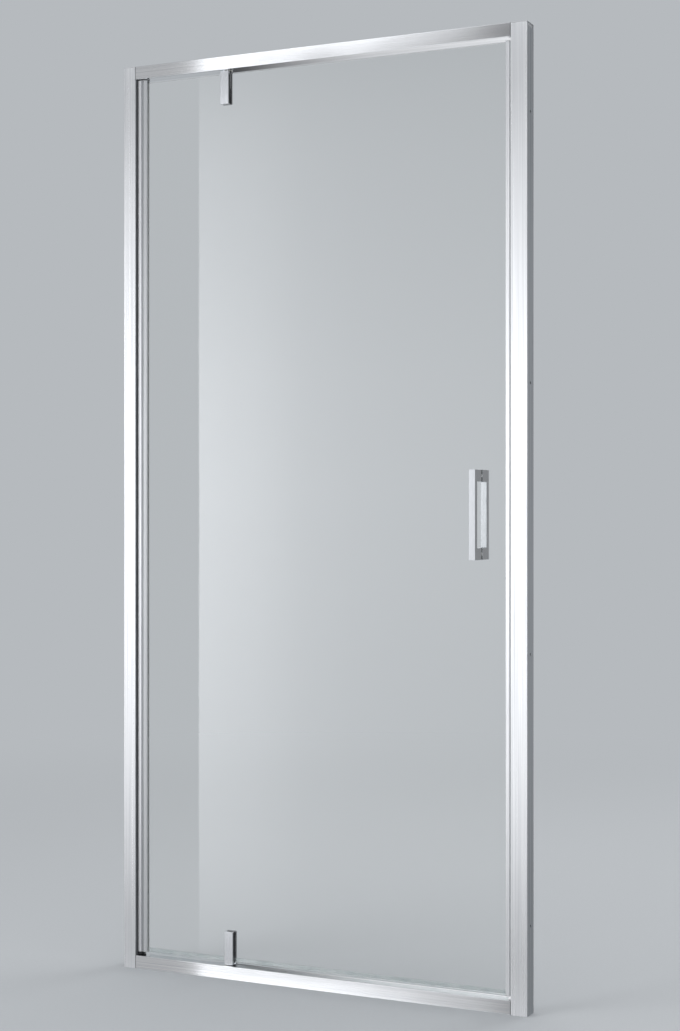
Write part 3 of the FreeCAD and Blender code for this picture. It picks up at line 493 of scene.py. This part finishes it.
def sinkHole(shape, face, middle, steps):
    # opens a round hole in a flat face and draws its wall in: steps are (radius, depth) in mm, from the mouth
    inward = -face.normal.copy()
    rim = list(face.edges)
    bmesh.ops.delete(shape, geom=[face], context="FACES_ONLY")
    turned = Matrix.Translation(middle) @ inward.to_track_quat("Z", "Y").to_matrix().to_4x4()
    ring = bmesh.ops.create_circle(
        shape, segments=meshing["holeSteps"], radius=steps[0][0] * mm, matrix=turned,
    )["verts"]
    edges = edgesOf(ring)
    bmesh.ops.bridge_loops(shape, edges=rim + edges)
    for (before, last), (radius, depth) in zip(steps, steps[1:]):
        verts = vertsIn(bmesh.ops.extrude_edge_only(shape, edges=edges)["geom"])
        edges = [edge for edge in edgesOf(verts) if all(vert in verts for vert in edge.verts)]
        centre = sum((vert.co for vert in verts), Vector()) / len(verts)
        share = radius / before
        bmesh.ops.scale(shape, vec=(share, share, share), space=Matrix.Translation(-centre), verts=verts)
        bmesh.ops.translate(shape, vec=inward * (depth - last) * mm, verts=verts)
    bmesh.ops.edgeloop_fill(shape, edges=edges)


def turnProfile(shape, section, place):
    # a round piece: its half section, (radius, height) in mm, turned about its axis and then put in its place
    before = set(shape.verts)
    verts = [shape.verts.new((radius * mm, 0, height * mm)) for radius, height in section]
    edges = [shape.edges.new(pair) for pair in zip(verts, verts[1:])]
    bmesh.ops.spin(
        shape, geom=verts + edges, cent=(0, 0, 0), axis=(0, 0, 1), angle=math.tau, steps=meshing["turnSteps"],
        use_merge=True,
    )
    made = [vert for vert in shape.verts if vert not in before]
    bmesh.ops.transform(shape, matrix=place, verts=made)


def addPiece(name, shape, layers, replaced, sharpFrom=meshing["sharpFrom"]):
    # makes the shape a piece that stands in for a CAD node, on the same body, casting shadows as the node's
    # slot says
    bmesh.ops.remove_doubles(shape, verts=shape.verts, dist=meshing["weldWithin"])
    bmesh.ops.recalc_face_normals(shape, faces=shape.faces)
    mesh = bpy.data.meshes.new(name)
    shape.to_mesh(mesh)
    shape.free()
    for finish in layers:
        mesh.materials.append(finish)
    mesh.shade_smooth()
    mesh.set_sharp_from_angle(angle=math.radians(sharpFrom))
    piece = bpy.data.objects.new(name, mesh)
    scene.collection.objects.link(piece)
    evened = piece.modifiers.new("evenNormals", "WEIGHTED_NORMAL")
    evened.keep_sharp = True
    piece.visible_shadow = slotOf[replaced] not in seeThrough
    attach(piece, bodyOf[replaced])
    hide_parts(replaced)
    return piece


# the glass, its edges ground to a narrow arris

glassValues = {
    "arris": 0.7,
    "flatWithin": 1,  # degrees: the CAD node's triangles that turn by less are made one face
    "sharpFrom": 20,
}


def buildGlass(values):
    shape = bmesh.new()
    shape.from_mesh(frame["nodes"]["glass_pane"].data)
    bmesh.ops.remove_doubles(shape, verts=shape.verts, dist=meshing["weldWithin"])
    bmesh.ops.dissolve_limit(
        shape, angle_limit=math.radians(values["flatWithin"]), verts=shape.verts, edges=shape.edges,
    )
    rims = [
        edge for edge in shape.edges
        if len(edge.link_faces) == 2
        and sum(abs(face.normal.y) > meshing["facing"] for face in edge.link_faces) == 1
    ]
    softenEdges(shape, rims, values["arris"], 1)
    return addPiece("groundGlassPane", shape, [finishes["clear_glass"]], "glass_pane", values["sharpFrom"])


glass = buildGlass(glassValues)
print("glass:", len(glass.data.polygons), "faces")


# the pair of handles: a square bar on two legs, with a grub screw's hole in each leg

handleValues = {
    "round": 0.9,
    "legHeight": 23.5,
    "barThickness": 12.3,
    "grubHole": 2.05,
    "grubFromSeat": 8.0,  # from the end that stands on the glass
    "grubHoleDepth": 7.0,
}


def buildHandle(name, replaced, values):
    low, high = [Vector(corner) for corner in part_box(replaced)]
    out = -1 if high.y < 0 else 1
    seat, face = (high.y, low.y) if out < 0 else (low.y, high.y)
    barBack = face - values["barThickness"] * mm * out
    legLow = low.z + values["legHeight"] * mm
    legHigh = high.z - values["legHeight"] * mm
    shape = bmesh.new()
    cuboid(shape, (low.x, min(face, barBack), low.z), (high.x, max(face, barBack), high.z))
    for z in (legLow, legHigh):
        cutAcross(shape, z)
    feet = [
        spot for spot in shape.faces
        if spot.normal.y * out < -meshing["facing"] and not legLow < spot.calc_center_median().z < legHigh
    ]
    drawn = bmesh.ops.extrude_face_region(shape, geom=feet)["geom"]
    bmesh.ops.translate(shape, vec=(0, seat - barBack, 0), verts=vertsIn(drawn))
    bmesh.ops.delete(shape, geom=[spot for spot in feet if spot.is_valid], context="FACES_ONLY")
    shape.normal_update()
    corners = [edge for edge in shape.edges if edge.calc_face_angle(0) > meshing["corner"]]
    softenEdges(shape, corners, values["round"])
    for z, up in ((legLow, 1), (legHigh, -1)):
        middle = Vector(((low.x + high.x) / 2, seat + values["grubFromSeat"] * mm * out, z))
        flat = nearestFlat(shape, Vector((0, 0, up)), middle)
        wall = ((values["grubHole"], 0), (values["grubHole"], values["grubHoleDepth"]))
        sinkHole(shape, flat, middle, wall)
    return addPiece(name, shape, [finishes["chrome"]], replaced)


for name, replaced in (("outerPull", "outer_handle"), ("innerPull", "inner_handle")):
    handle = buildHandle(name, replaced, handleValues)
    print("handle:", len(handle.data.polygons), "faces")


# the four half blocks of the two hinges

hingeValues = {
    "round": 0.8,
    "innerRound": 0.25,
    "plateFrom": 3.5,  # from the middle of the glass to a plate's inner face
    "axis": -208.0,
    "coreNear": 4.2,  # the core that fills the notch, on both sides of the axis
    "coreFar": 8.6,
    "coreHeight": 35.5,
    "screwFromAxis": 5.0,
    "screwHeights": (30.0, 54.0),
    "screwHole": 2.05,
    "screwSeat": 4.15,
    "seatDepth": 2.1,
    "holeDepth": 6.0,
}


def buildHalfBlock(name, replaced, values):
    low, high = [Vector(corner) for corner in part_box(replaced)]
    isFront = low.y < -values["plateFrom"] * mm
    isBottom = low.z < middleHeight
    side = 1 if isBottom else -1
    inner = values["plateFrom"] * mm * (-1 if isFront else 1)
    plateLow = (low.x, low.y if isFront else inner, low.z)
    plateHigh = (high.x, inner if isFront else high.y, high.z)
    shape = bmesh.new()
    cuboid(shape, plateLow, plateHigh)
    for onInner, radius in ((False, values["round"]), (True, values["innerRound"])):
        edges = [
            edge for edge in shape.edges if edge.calc_face_angle(0) > meshing["corner"]
            and all(abs(vert.co.y - inner) < meshing["onPlane"] for vert in edge.verts) == onInner
        ]
        softenEdges(shape, edges, radius)
    end = low.z if isBottom else high.z
    screwX = (values["axis"] + values["screwFromAxis"] * side) * mm
    if isFront:
        axis = values["axis"] * mm
        coreX = sorted((axis - values["coreNear"] * mm * side, axis + values["coreFar"] * mm * side))
        coreZ = sorted((end, end + values["coreHeight"] * mm * side))
        core = cuboid(shape, (coreX[0], inner, coreZ[0]), (coreX[1], -inner, coreZ[1]))
        for spot in {face for vert in core for face in vert.link_faces}:
            spot.material_index = 1  # the rubber sleeve that keeps the core off the glass, made black also as painted shade in the notch
    else:
        # cut between the screws, so that each hole has a face of its own
        cutAcross(shape, end + sum(values["screwHeights"]) / 2 * mm * side)
        seatAndHole = (
            (values["screwSeat"], 0),
            (values["screwHole"], values["seatDepth"]),
            (values["screwHole"], values["holeDepth"]),
        )
        for height in values["screwHeights"]:
            middle = Vector((screwX, high.y, end + height * mm * side))
            sinkHole(shape, nearestFlat(shape, Vector((0, 1, 0)), middle), middle, seatAndHole)
    # the front halves' core is black rubber, which also stands as painted shade in the notch
    layers = [finishes["chrome"], finishes["black_rubber"]] if isFront else [finishes["chrome"]]
    return addPiece(name, shape, layers, replaced)


for end in ("bottom", "top"):
    for side in ("front", "back"):
        buildHalfBlock(f"{end}HingeBlock_{side}", f"{end}_hinge_{side}_block", hingeValues)
print("hinge blocks built")


# the hinge stile: bright outside, with a dull etched floor in the groove down each face, its colour darkened
# as painted shade in the recess

stileValues = {
    "grooveFromEdge": 8.4,
    "grooveWidth": 6.0,
    "grooveDepth": 1.8,
    "lipFall": 3.5,  # how far the lip beside the glass falls back
    "slotFromEdge": 8.0,
    "slotHalf": 3.5,
    "outerRound": 0.6,
    "lipRound": 0.8,
    "slotRound": 0.2,
    "grooveRound": 0.25,
}


def buildHingeStile(values):
    low, high = [Vector(corner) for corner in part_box("hinge_stile")]
    left, right, face = low.x / mm, high.x / mm, high.y / mm
    grooveLeft = left + values["grooveFromEdge"]
    grooveRight = grooveLeft + values["grooveWidth"]
    slotEnd = left + values["slotFromEdge"]
    floor = face - values["grooveDepth"]
    lip = face - values["lipFall"]
    half = [
        (left, face, values["outerRound"]),
        (grooveLeft, face, values["grooveRound"]),
        (grooveLeft, floor, 0),
        (grooveRight, floor, 0),
        (grooveRight, face, values["grooveRound"]),
        (right, lip, values["lipRound"]),
        (right, values["slotHalf"], values["slotRound"]),
        (slotEnd, values["slotHalf"], 0),
    ]
    front = [(x, -y, rounding) for x, y, rounding in half]
    shape = bmesh.new()
    drawProfile(shape, front + half[::-1], "Z", low.z, high.z)
    for spot in shape.faces:
        middle = spot.calc_center_median()
        isFlat = abs(spot.normal.y) > meshing["facing"]
        onFloor = isFlat and abs(abs(middle.y) - floor * mm) < meshing["onPlane"]
        # the groove's floor takes the darker finish, which is painted shade in the recess
        spot.material_index = 1 if onFloor else 0
    return addPiece("groovedHingeStile", shape, [finishes["stile_aluminium"], shadedGrooveFinish], "hinge_stile")


buildHingeStile(stileValues)
print("hinge stile built")


# soft profiles: the black gasket, the glazing liners and the drip seals

gasketValues = {
    "thickness": 1.0,
    "front": -14.5,
    "back": 12.0,
    "finFront": -12.8,
    "finBack": -11.6,
    "finTip": 2.6,
    "footDepth": 2.05,
    "footMiddle": -4.0,
    "footHalf": 1.85,
    "round": 0.4,
    "finRounds": (0.3, 0.25),
    "finTipFall": 0.5,
    "fluteHalf": 0.7,
    "fluteDepth": 0.35,
    "flutes": (-7.5, -1.5, 4.5, 8.5),  # shallow channels along the face, which let water run down
}


def buildGasket(values):
    low, high = [Vector(corner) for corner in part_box("hinge_jamb_gasket")]
    jamb = low.x / mm + values["footDepth"]
    face = jamb + values["thickness"]
    tip = jamb + values["finTip"]
    corners = [
        (jamb, values["front"], 0),
        (face, values["front"], values["round"]),
        (face, values["finFront"], 0),
        (tip, values["finFront"] + values["finTipFall"], values["finRounds"][0]),
        (tip, values["finBack"], values["finRounds"][1]),
        (face, values["finBack"], 0),
    ]
    reach = values["fluteHalf"]
    for y in values["flutes"]:
        corners += [(face, y - reach, 0), (face - values["fluteDepth"], y, 0), (face, y + reach, 0)]
    foot = (values["footMiddle"] + values["footHalf"], values["footMiddle"] - values["footHalf"])
    corners += [
        (face, values["back"], values["round"]),
        (jamb, values["back"], 0),
        (jamb, foot[0], 0),
        (low.x / mm, foot[0], values["round"]),
        (low.x / mm, foot[1], values["round"]),
        (jamb, foot[1], 0),
    ]
    shape = bmesh.new()
    drawProfile(shape, corners, "Z", low.z, high.z)
    return addPiece("flutedJambGasket", shape, [gasketFinish], "hinge_jamb_gasket")


linerValues = {"wall": 0.5, "lipRound": 0.22}


def buildLiner(name, replaced, values):
    low, high = [Vector(corner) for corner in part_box(replaced)]
    mouth, floor = (high.x, low.x) if low.x < 0 else (low.x, high.x)
    bed = floor / mm + values["wall"] * (1 if mouth > floor else -1)
    face = high.y / mm
    half = [
        (floor / mm, face, 0),
        (mouth / mm, face, values["lipRound"]),
        (mouth / mm, face - values["wall"], values["lipRound"]),
        (bed, face - values["wall"], 0),
    ]
    shape = bmesh.new()
    drawProfile(shape, [(x, -y, rounding) for x, y, rounding in half] + half[::-1], "Z", low.z, high.z)
    return addPiece(name, shape, [linerFinish], replaced)


# section of the seal under the glass, (Y, Z from its top, rounding): two walls that grip the pane, and a lip
# that curves away into the shower
dripSealSection = [
    (-3.05, 0.0, 0.3), (-4.0, 0.0, 0.4), (-4.0, -9.0, 0.5), (2.0, -9.0, 0.6), (3.3, -11.4, 1.4),
    (8.0, -14.0, 0.3), (9.0, -14.0, 0.3), (4.7, -11.0, 1.4), (4.0, -9.0, 0.8), (4.0, 0.0, 0.4),
    (3.05, 0.0, 0.3), (3.05, -8.05, 0), (-3.05, -8.05, 0),
]


def buildDripSeal(name, replaced, section):
    low, high = [Vector(corner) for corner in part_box(replaced)]
    top = high.z / mm
    shape = bmesh.new()
    drawProfile(shape, [(y, top + z, rounding) for y, z, rounding in section], "X", low.x, high.x)
    return addPiece(name, shape, [finishes["clear_vinyl"]], replaced)


buildGasket(gasketValues)
buildLiner("hingeGlazingLip", "hinge_glazing_liner", linerValues)
buildLiner("latchGlazingLip", "latch_glazing_liner", linerValues)
buildDripSeal("hingeSideDripLip", "hinge_side_drip_seal", dripSealSection)
buildDripSeal("latchSideDripLip", "latch_side_drip_seal", dripSealSection)
print("soft profiles built")


# small moulded parts: covers on the ends of the profiles, screw caps and the pins' bushes

coverValues = {
    "thickness": 1.5,
    "edge": 0.5,
    "corner": 0.8,
    "plugDepth": 7.0,
    "plugHalf": 16.1,
    "plugs": ((-448.2, -427.4), (421.4, 448.2)),  # from left to right, inside each jamb
}


def buildJambCovers(values):
    low, high = [Vector(corner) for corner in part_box("jamb_top_caps")]
    under = high.z - values["thickness"] * mm
    opening = (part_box("hinge_side_joint_pads")[0][0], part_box("latch_side_joint_pads")[1][0])
    shape = bmesh.new()
    for ends in ((low.x, opening[0]), (opening[1], high.x)):
        cover = cuboid(shape, (ends[0], low.y, under), (ends[1], high.y, high.z))
        upright = [
            edge for edge in edgesOf(cover)
            if abs(edge.verts[0].co.z - edge.verts[1].co.z) > meshing["onPlane"]
        ]
        softenEdges(shape, upright, values["corner"])
    rims = [
        edge for edge in shape.edges if edge.calc_face_angle(0) > meshing["corner"]
        and all(abs(vert.co.z - high.z) < meshing["onPlane"] for vert in edge.verts)
    ]
    softenEdges(shape, rims, values["edge"])
    for ends in values["plugs"]:
        cuboid(
            shape, (ends[0] * mm, -values["plugHalf"] * mm, under - values["plugDepth"] * mm),
            (ends[1] * mm, values["plugHalf"] * mm, under),
        )
    return addPiece("jambTopCovers", shape, [finishes["cap_plastic"]], "jamb_top_caps")


# section of a domed cap over a screw, (radius, height)
capSection = [
    (0.0, 3.8), (2.0, 3.74), (3.8, 3.42), (5.0, 2.8), (5.7, 1.95), (6.0, 0.9), (6.0, 0.0), (4.8, 0.0),
    (4.6, 1.6), (3.6, 2.6), (0.0, 2.7),
]


def buildScrewCaps(section):
    low, high = [Vector(corner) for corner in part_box("screw_cover_caps")]
    shape = bmesh.new()
    radius = max(point[0] for point in section) * mm
    towardsBack = Matrix.Rotation(math.radians(-90), 4, "X")
    for x in (low.x + radius, high.x - radius):
        for z in (low.z + radius, (low.z + high.z) / 2, high.z - radius):
            turnProfile(shape, section, Matrix.Translation((x, low.y, z)) @ towardsBack)
    return addPiece("domedScrewCaps", shape, [finishes["cap_plastic"]], "screw_cover_caps")


# section of the nylon cup that a pin turns in, (radius, height over the rail)
bushSection = [
    (0.0, -14.0), (3.05, -14.0), (3.05, 0.4), (3.35, 0.7), (8.2, 0.7), (8.42, 0.6), (8.5, 0.4), (8.5, 0.0),
    (6.0, 0.0), (6.0, -16.0), (0.0, -16.0),
]


def buildBush(name, replaced, section):
    low, high = [Vector(corner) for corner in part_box(replaced)]
    flange = max(height for radius, height in section) * mm
    isBottom = low.z < middleHeight
    turn = Matrix.Identity(4) if isBottom else Matrix.Rotation(math.radians(180), 4, "X")
    rail = high.z - flange if isBottom else low.z + flange
    shape = bmesh.new()
    turnProfile(shape, section, Matrix.Translation(((low.x + high.x) / 2, 0, rail)) @ turn)
    return addPiece(name, shape, [finishes["nylon"]], replaced)


buildJambCovers(coverValues)
buildScrewCaps(capSection)
buildBush("bottomPinCup", "bottom_pivot_bush", bushSection)
buildBush("topPinCup", "top_pivot_bush", bushSection)
print("small parts built")


# studio: a pale floor, a pale room and soft lamps, in metres

studio = {
    "tone": "#B6BABE",  # the room
    "floorTone": "#B5B9BD",
    "floorShine": 0.15,
    "floorSmooth": 0.55,
    "floorRough": 0.7,
    "floorGrit": 6,  # mm
    "roomLight": 0.72,  # the even light that reaches every surface
    "floorSize": 60.0,
    "fadeStart": 0.9,  # metres from the door where the floor starts to turn into the room
    "fadeEnd": 4.2,
}


def seenRays(tree):
    # 1 for what the eye sees straight, in metal or through glass, 0 for the light that falls on surfaces
    rays = addNode(tree, "ShaderNodeLightPath")
    either = addNode(
        tree, "ShaderNodeMath", {"operation": "MAXIMUM"},
        {0: rays.outputs["Is Camera Ray"], 1: rays.outputs["Is Glossy Ray"]},
    )
    seen = addNode(
        tree, "ShaderNodeMath", {"operation": "MAXIMUM"},
        {0: either.outputs[0], 1: rays.outputs["Is Transmission Ray"]},
    )
    return seen.outputs[0]


def buildRoom(values):
    world = bpy.data.worlds.new("paleRoom")
    world.use_nodes = True
    tree = world.node_tree
    tree.nodes.clear()
    light = addNode(tree, "ShaderNodeBackground", {"Color": (1, 1, 1, 1), "Strength": values["roomLight"]})
    shown = addNode(tree, "ShaderNodeBackground", {"Color": linearColour(values["tone"]), "Strength": 1.0})
    mixed = addNode(
        tree, "ShaderNodeMixShader", {}, {0: seenRays(tree), 1: light.outputs[0], 2: shown.outputs[0]},
    )
    addNode(tree, "ShaderNodeOutputWorld", {}, {"Surface": mixed.outputs[0]})
    scene.world = world


def floorFinish(values):
    material, tree = startMaterial("paleFloor")
    place = addNode(tree, "ShaderNodeTexCoord")
    away = addNode(tree, "ShaderNodeVectorMath", {"operation": "LENGTH"}, {0: place.outputs["Object"]})
    faded = addNode(
        tree, "ShaderNodeMapRange",
        {"interpolation_type": "SMOOTHSTEP", "From Min": values["fadeStart"], "From Max": values["fadeEnd"]},
        {"Value": away.outputs["Value"]},
    )
    share = addNode(
        tree, "ShaderNodeMath", {"operation": "MULTIPLY"}, {0: faded.outputs[0], 1: seenRays(tree)},
    )
    grit = grain(tree, values["floorGrit"], detail=3.0)
    dullness = addNode(
        tree, "ShaderNodeMapRange",
        {**noiseSpan, "To Min": values["floorSmooth"], "To Max": values["floorRough"]}, {"Value": grit},
    )
    surface = addNode(
        tree, "ShaderNodeBsdfPrincipled",
        {"Specular IOR Level": values["floorShine"], "Base Color": linearColour(values["floorTone"])},
        {"Roughness": dullness.outputs["Result"]},
    )
    room = addNode(tree, "ShaderNodeEmission", {"Color": linearColour(values["tone"]), "Strength": 1.0})
    mixed = addNode(
        tree, "ShaderNodeMixShader", {}, {0: share.outputs[0], 1: surface.outputs[0], 2: room.outputs[0]},
    )
    # metal and glass mirror the screens, also below the floor's level, so the floor is clear to mirrored rays
    rays = addNode(tree, "ShaderNodeLightPath")
    mirrored = addNode(
        tree, "ShaderNodeMath", {"operation": "GREATER_THAN", 1: 0.5}, {0: rays.outputs["Glossy Depth"]},
    )
    clear = addNode(tree, "ShaderNodeBsdfTransparent")
    shown = addNode(
        tree, "ShaderNodeMixShader", {}, {0: mirrored.outputs[0], 1: mixed.outputs[0], 2: clear.outputs[0]},
    )
    endMaterial(tree, shown)
    return material


def addPlane(name, sideX, sideY, place, turn, material):
    shape = bmesh.new()
    bmesh.ops.create_grid(shape, x_segments=1, y_segments=1, size=0.5)
    bmesh.ops.scale(shape, vec=(sideX, sideY, 1), verts=shape.verts)
    mesh = bpy.data.meshes.new(name)
    shape.to_mesh(mesh)
    shape.free()
    mesh.materials.append(material)
    plane = bpy.data.objects.new(name, mesh)
    plane.location = place
    plane.rotation_euler = turn
    scene.collection.objects.link(plane)
    return plane


# How a screen's light changes, as stops of (place, share of its strength). Places run from 0 to 1: across
# from the left edge to the right edge, and up from the low edge to the high edge.
even = ((0.0, 1.0), (1.0, 1.0))
roundedOff = ((0.0, 0.0), (0.25, 0.8), (0.5, 1.0), (0.75, 0.8), (1.0, 0.0))
humpUp = (  # brightest opposite the middle of the door
    (0.031, 0.20), (0.088, 0.38), (0.142, 0.52), (0.198, 0.63), (0.309, 0.80), (0.42, 0.93), (0.528, 1.0),
    (0.639, 0.92), (0.753, 0.72), (0.861, 0.54), (0.918, 0.40), (0.979, 0.18),
)
paneAcross = (
    (0.0, 1.0), (0.176, 0.80), (0.334, 0.55), (0.485, 0.43), (0.633, 0.37), (0.794, 0.33), (0.90, 0.31),
    (1.0, 0.24),
)
railAcross = (
    (0.0, 1.0), (0.485, 0.88), (0.633, 0.66), (0.718, 0.53), (0.805, 0.43), (0.863, 0.32), (0.924, 0.21),
    (1.0, 0.12),
)
rightAcross = ((0.0, 0.3), (0.15, 1.0), (0.5, 1.0), (1.0, 0.1))
flagAcross = ((0.0, 1.0), (0.15, 0.7), (0.6, 0.7), (1.0, 1.0))
flagUp = ((0.0, 0.12), (0.283, 0.12), (0.348, 1.0), (0.761, 1.0), (0.826, 0.12), (1.0, 0.12))

# Soft screens that only metal and glass mirror. Most stand in a row in front of the door, and three of them
# are over one another, to the left of its middle.
inFront = {"y": -3.3, "low": -1.0, "high": 2.88, "across": even, "up": even}
leftOfMiddle = {**inFront, "left": -2.156, "right": -0.7}
screens = {
    "softScreen": {**leftOfMiddle, "strength": 3.5, "across": paneAcross, "up": humpUp},
    "highScreen": {**leftOfMiddle, "low": 2.88, "high": 5.2, "strength": 3.3, "across": railAcross},
    "lowScreen": {**leftOfMiddle, "low": -3.3, "high": -1.0, "strength": 2.7, "across": railAcross},
    "dimStrip": {**inFront, "left": -2.5, "right": -2.156, "low": -3.3, "high": 5.2, "strength": 0.5},
    "leftScreen": {**inFront, "left": -5.0, "right": -2.5, "strength": 1.8, "up": humpUp},
    "rightScreen": {
        **inFront, "left": -0.7, "right": 1.4, "strength": 2.5, "across": rightAcross, "up": humpUp,
    },
    "farRightScreen": {**inFront, "left": 1.4, "right": 4.6, "strength": 0.3},
    "rearScreen": {
        "left": -2.2, "right": 0.5, "y": 3.6, "low": 0.3, "high": 2.7, "strength": 1.3,
        "across": roundedOff, "up": roundedOff,
    },
    "darkFlag": {
        "left": 0.8, "right": 2.8, "y": 2.7, "low": -1.6, "high": 3.0, "strength": 0.47,
        "across": flagAcross, "up": flagUp,
    },
}
glowColour = "#F8F9FC"


def screenFinish(name, values):
    material, tree = startMaterial(name)
    place = addNode(tree, "ShaderNodeTexCoord")
    split = addNode(tree, "ShaderNodeSeparateXYZ", {}, {0: place.outputs["UV"]})
    ramps = []
    for axis, stops in (("X", values["across"]), ("Y", values["up"])):
        ramp = addNode(tree, "ShaderNodeValToRGB", {}, {"Fac": split.outputs[axis]})
        made = ramp.color_ramp.elements
        for i, (at, share) in enumerate(stops):
            stop = made[i] if i < 2 else made.new(at)
            stop.position = at
            stop.color = (share, share, share, 1)
        ramps.append(ramp.outputs["Color"])
    power = addNode(tree, "ShaderNodeMath", {"operation": "MULTIPLY"}, {0: ramps[0], 1: ramps[1]})
    scaled = addNode(
        tree, "ShaderNodeMath", {"operation": "MULTIPLY", 1: values["strength"]}, {0: power.outputs[0]},
    )
    glow = addNode(
        tree, "ShaderNodeEmission", {"Color": linearColour(glowColour)}, {"Strength": scaled.outputs[0]},
    )
    # seen through the glass only in metal behind it, so that the pane itself stays clear
    rays = addNode(tree, "ShaderNodeLightPath")
    first = addNode(
        tree, "ShaderNodeMath", {"operation": "LESS_THAN", 1: 0.5}, {0: rays.outputs["Glossy Depth"]},
    )
    hidden = addNode(
        tree, "ShaderNodeMath", {"operation": "MULTIPLY"},
        {0: first.outputs[0], 1: rays.outputs["Is Transmission Ray"]},
    )
    clear = addNode(tree, "ShaderNodeBsdfTransparent")
    mixed = addNode(
        tree, "ShaderNodeMixShader", {}, {0: hidden.outputs[0], 1: glow.outputs[0], 2: clear.outputs[0]},
    )
    endMaterial(tree, mixed)
    return material


def addScreen(name, values):
    width = values["right"] - values["left"]
    height = values["high"] - values["low"]
    middle = ((values["left"] + values["right"]) / 2, values["y"], (values["low"] + values["high"]) / 2)
    plane = addPlane(name, width, height, middle, (math.radians(90), 0, 0), screenFinish(name, values))
    uvs = plane.data.uv_layers.new(name="screenUv")
    for loop in plane.data.loops:
        at = plane.data.vertices[loop.vertex_index].co
        uvs.data[loop.index].uv = (at.x / width + 0.5, at.y / height + 0.5)
    plane.visible_camera = False
    plane.visible_shadow = False
    plane.visible_diffuse = False


lamps = {
    # name: (place, aims at, size across, size up, watts)
    "keyLamp": ((-2.6, -3.6, 3.2), (0, 0, 0.9), 2.2, 1.6, 60),
    "topLamp": ((0.4, 0.2, 4.2), (0, 0, 0.9), 2.6, 2.0, 35),
    "backLamp": ((1.8, 3.8, 2.6), (0, 0, 1.0), 2.2, 1.8, 40),
}


def addLamp(name, place, aim, across, up, watts):
    data = bpy.data.lights.new(name, "AREA")
    data.shape = "RECTANGLE"
    data.size = across
    data.size_y = up
    data.energy = watts
    lamp = bpy.data.objects.new(name, data)
    lamp.location = place
    lamp.rotation_euler = (Vector(aim) - Vector(place)).to_track_quat("-Z", "Y").to_euler()
    scene.collection.objects.link(lamp)
    lamp.visible_camera = False
    lamp.visible_transmission = False
    lamp.visible_glossy = False


buildRoom(studio)
addPlane("paleFloor", studio["floorSize"], studio["floorSize"], (0, 0, 0), (0, 0, 0), floorFinish(studio))
for name, values in screens.items():
    addScreen(name, values)
for name, values in lamps.items():
    addLamp(name, *values)
scene.view_settings.view_transform = "Standard"
print("studio built")
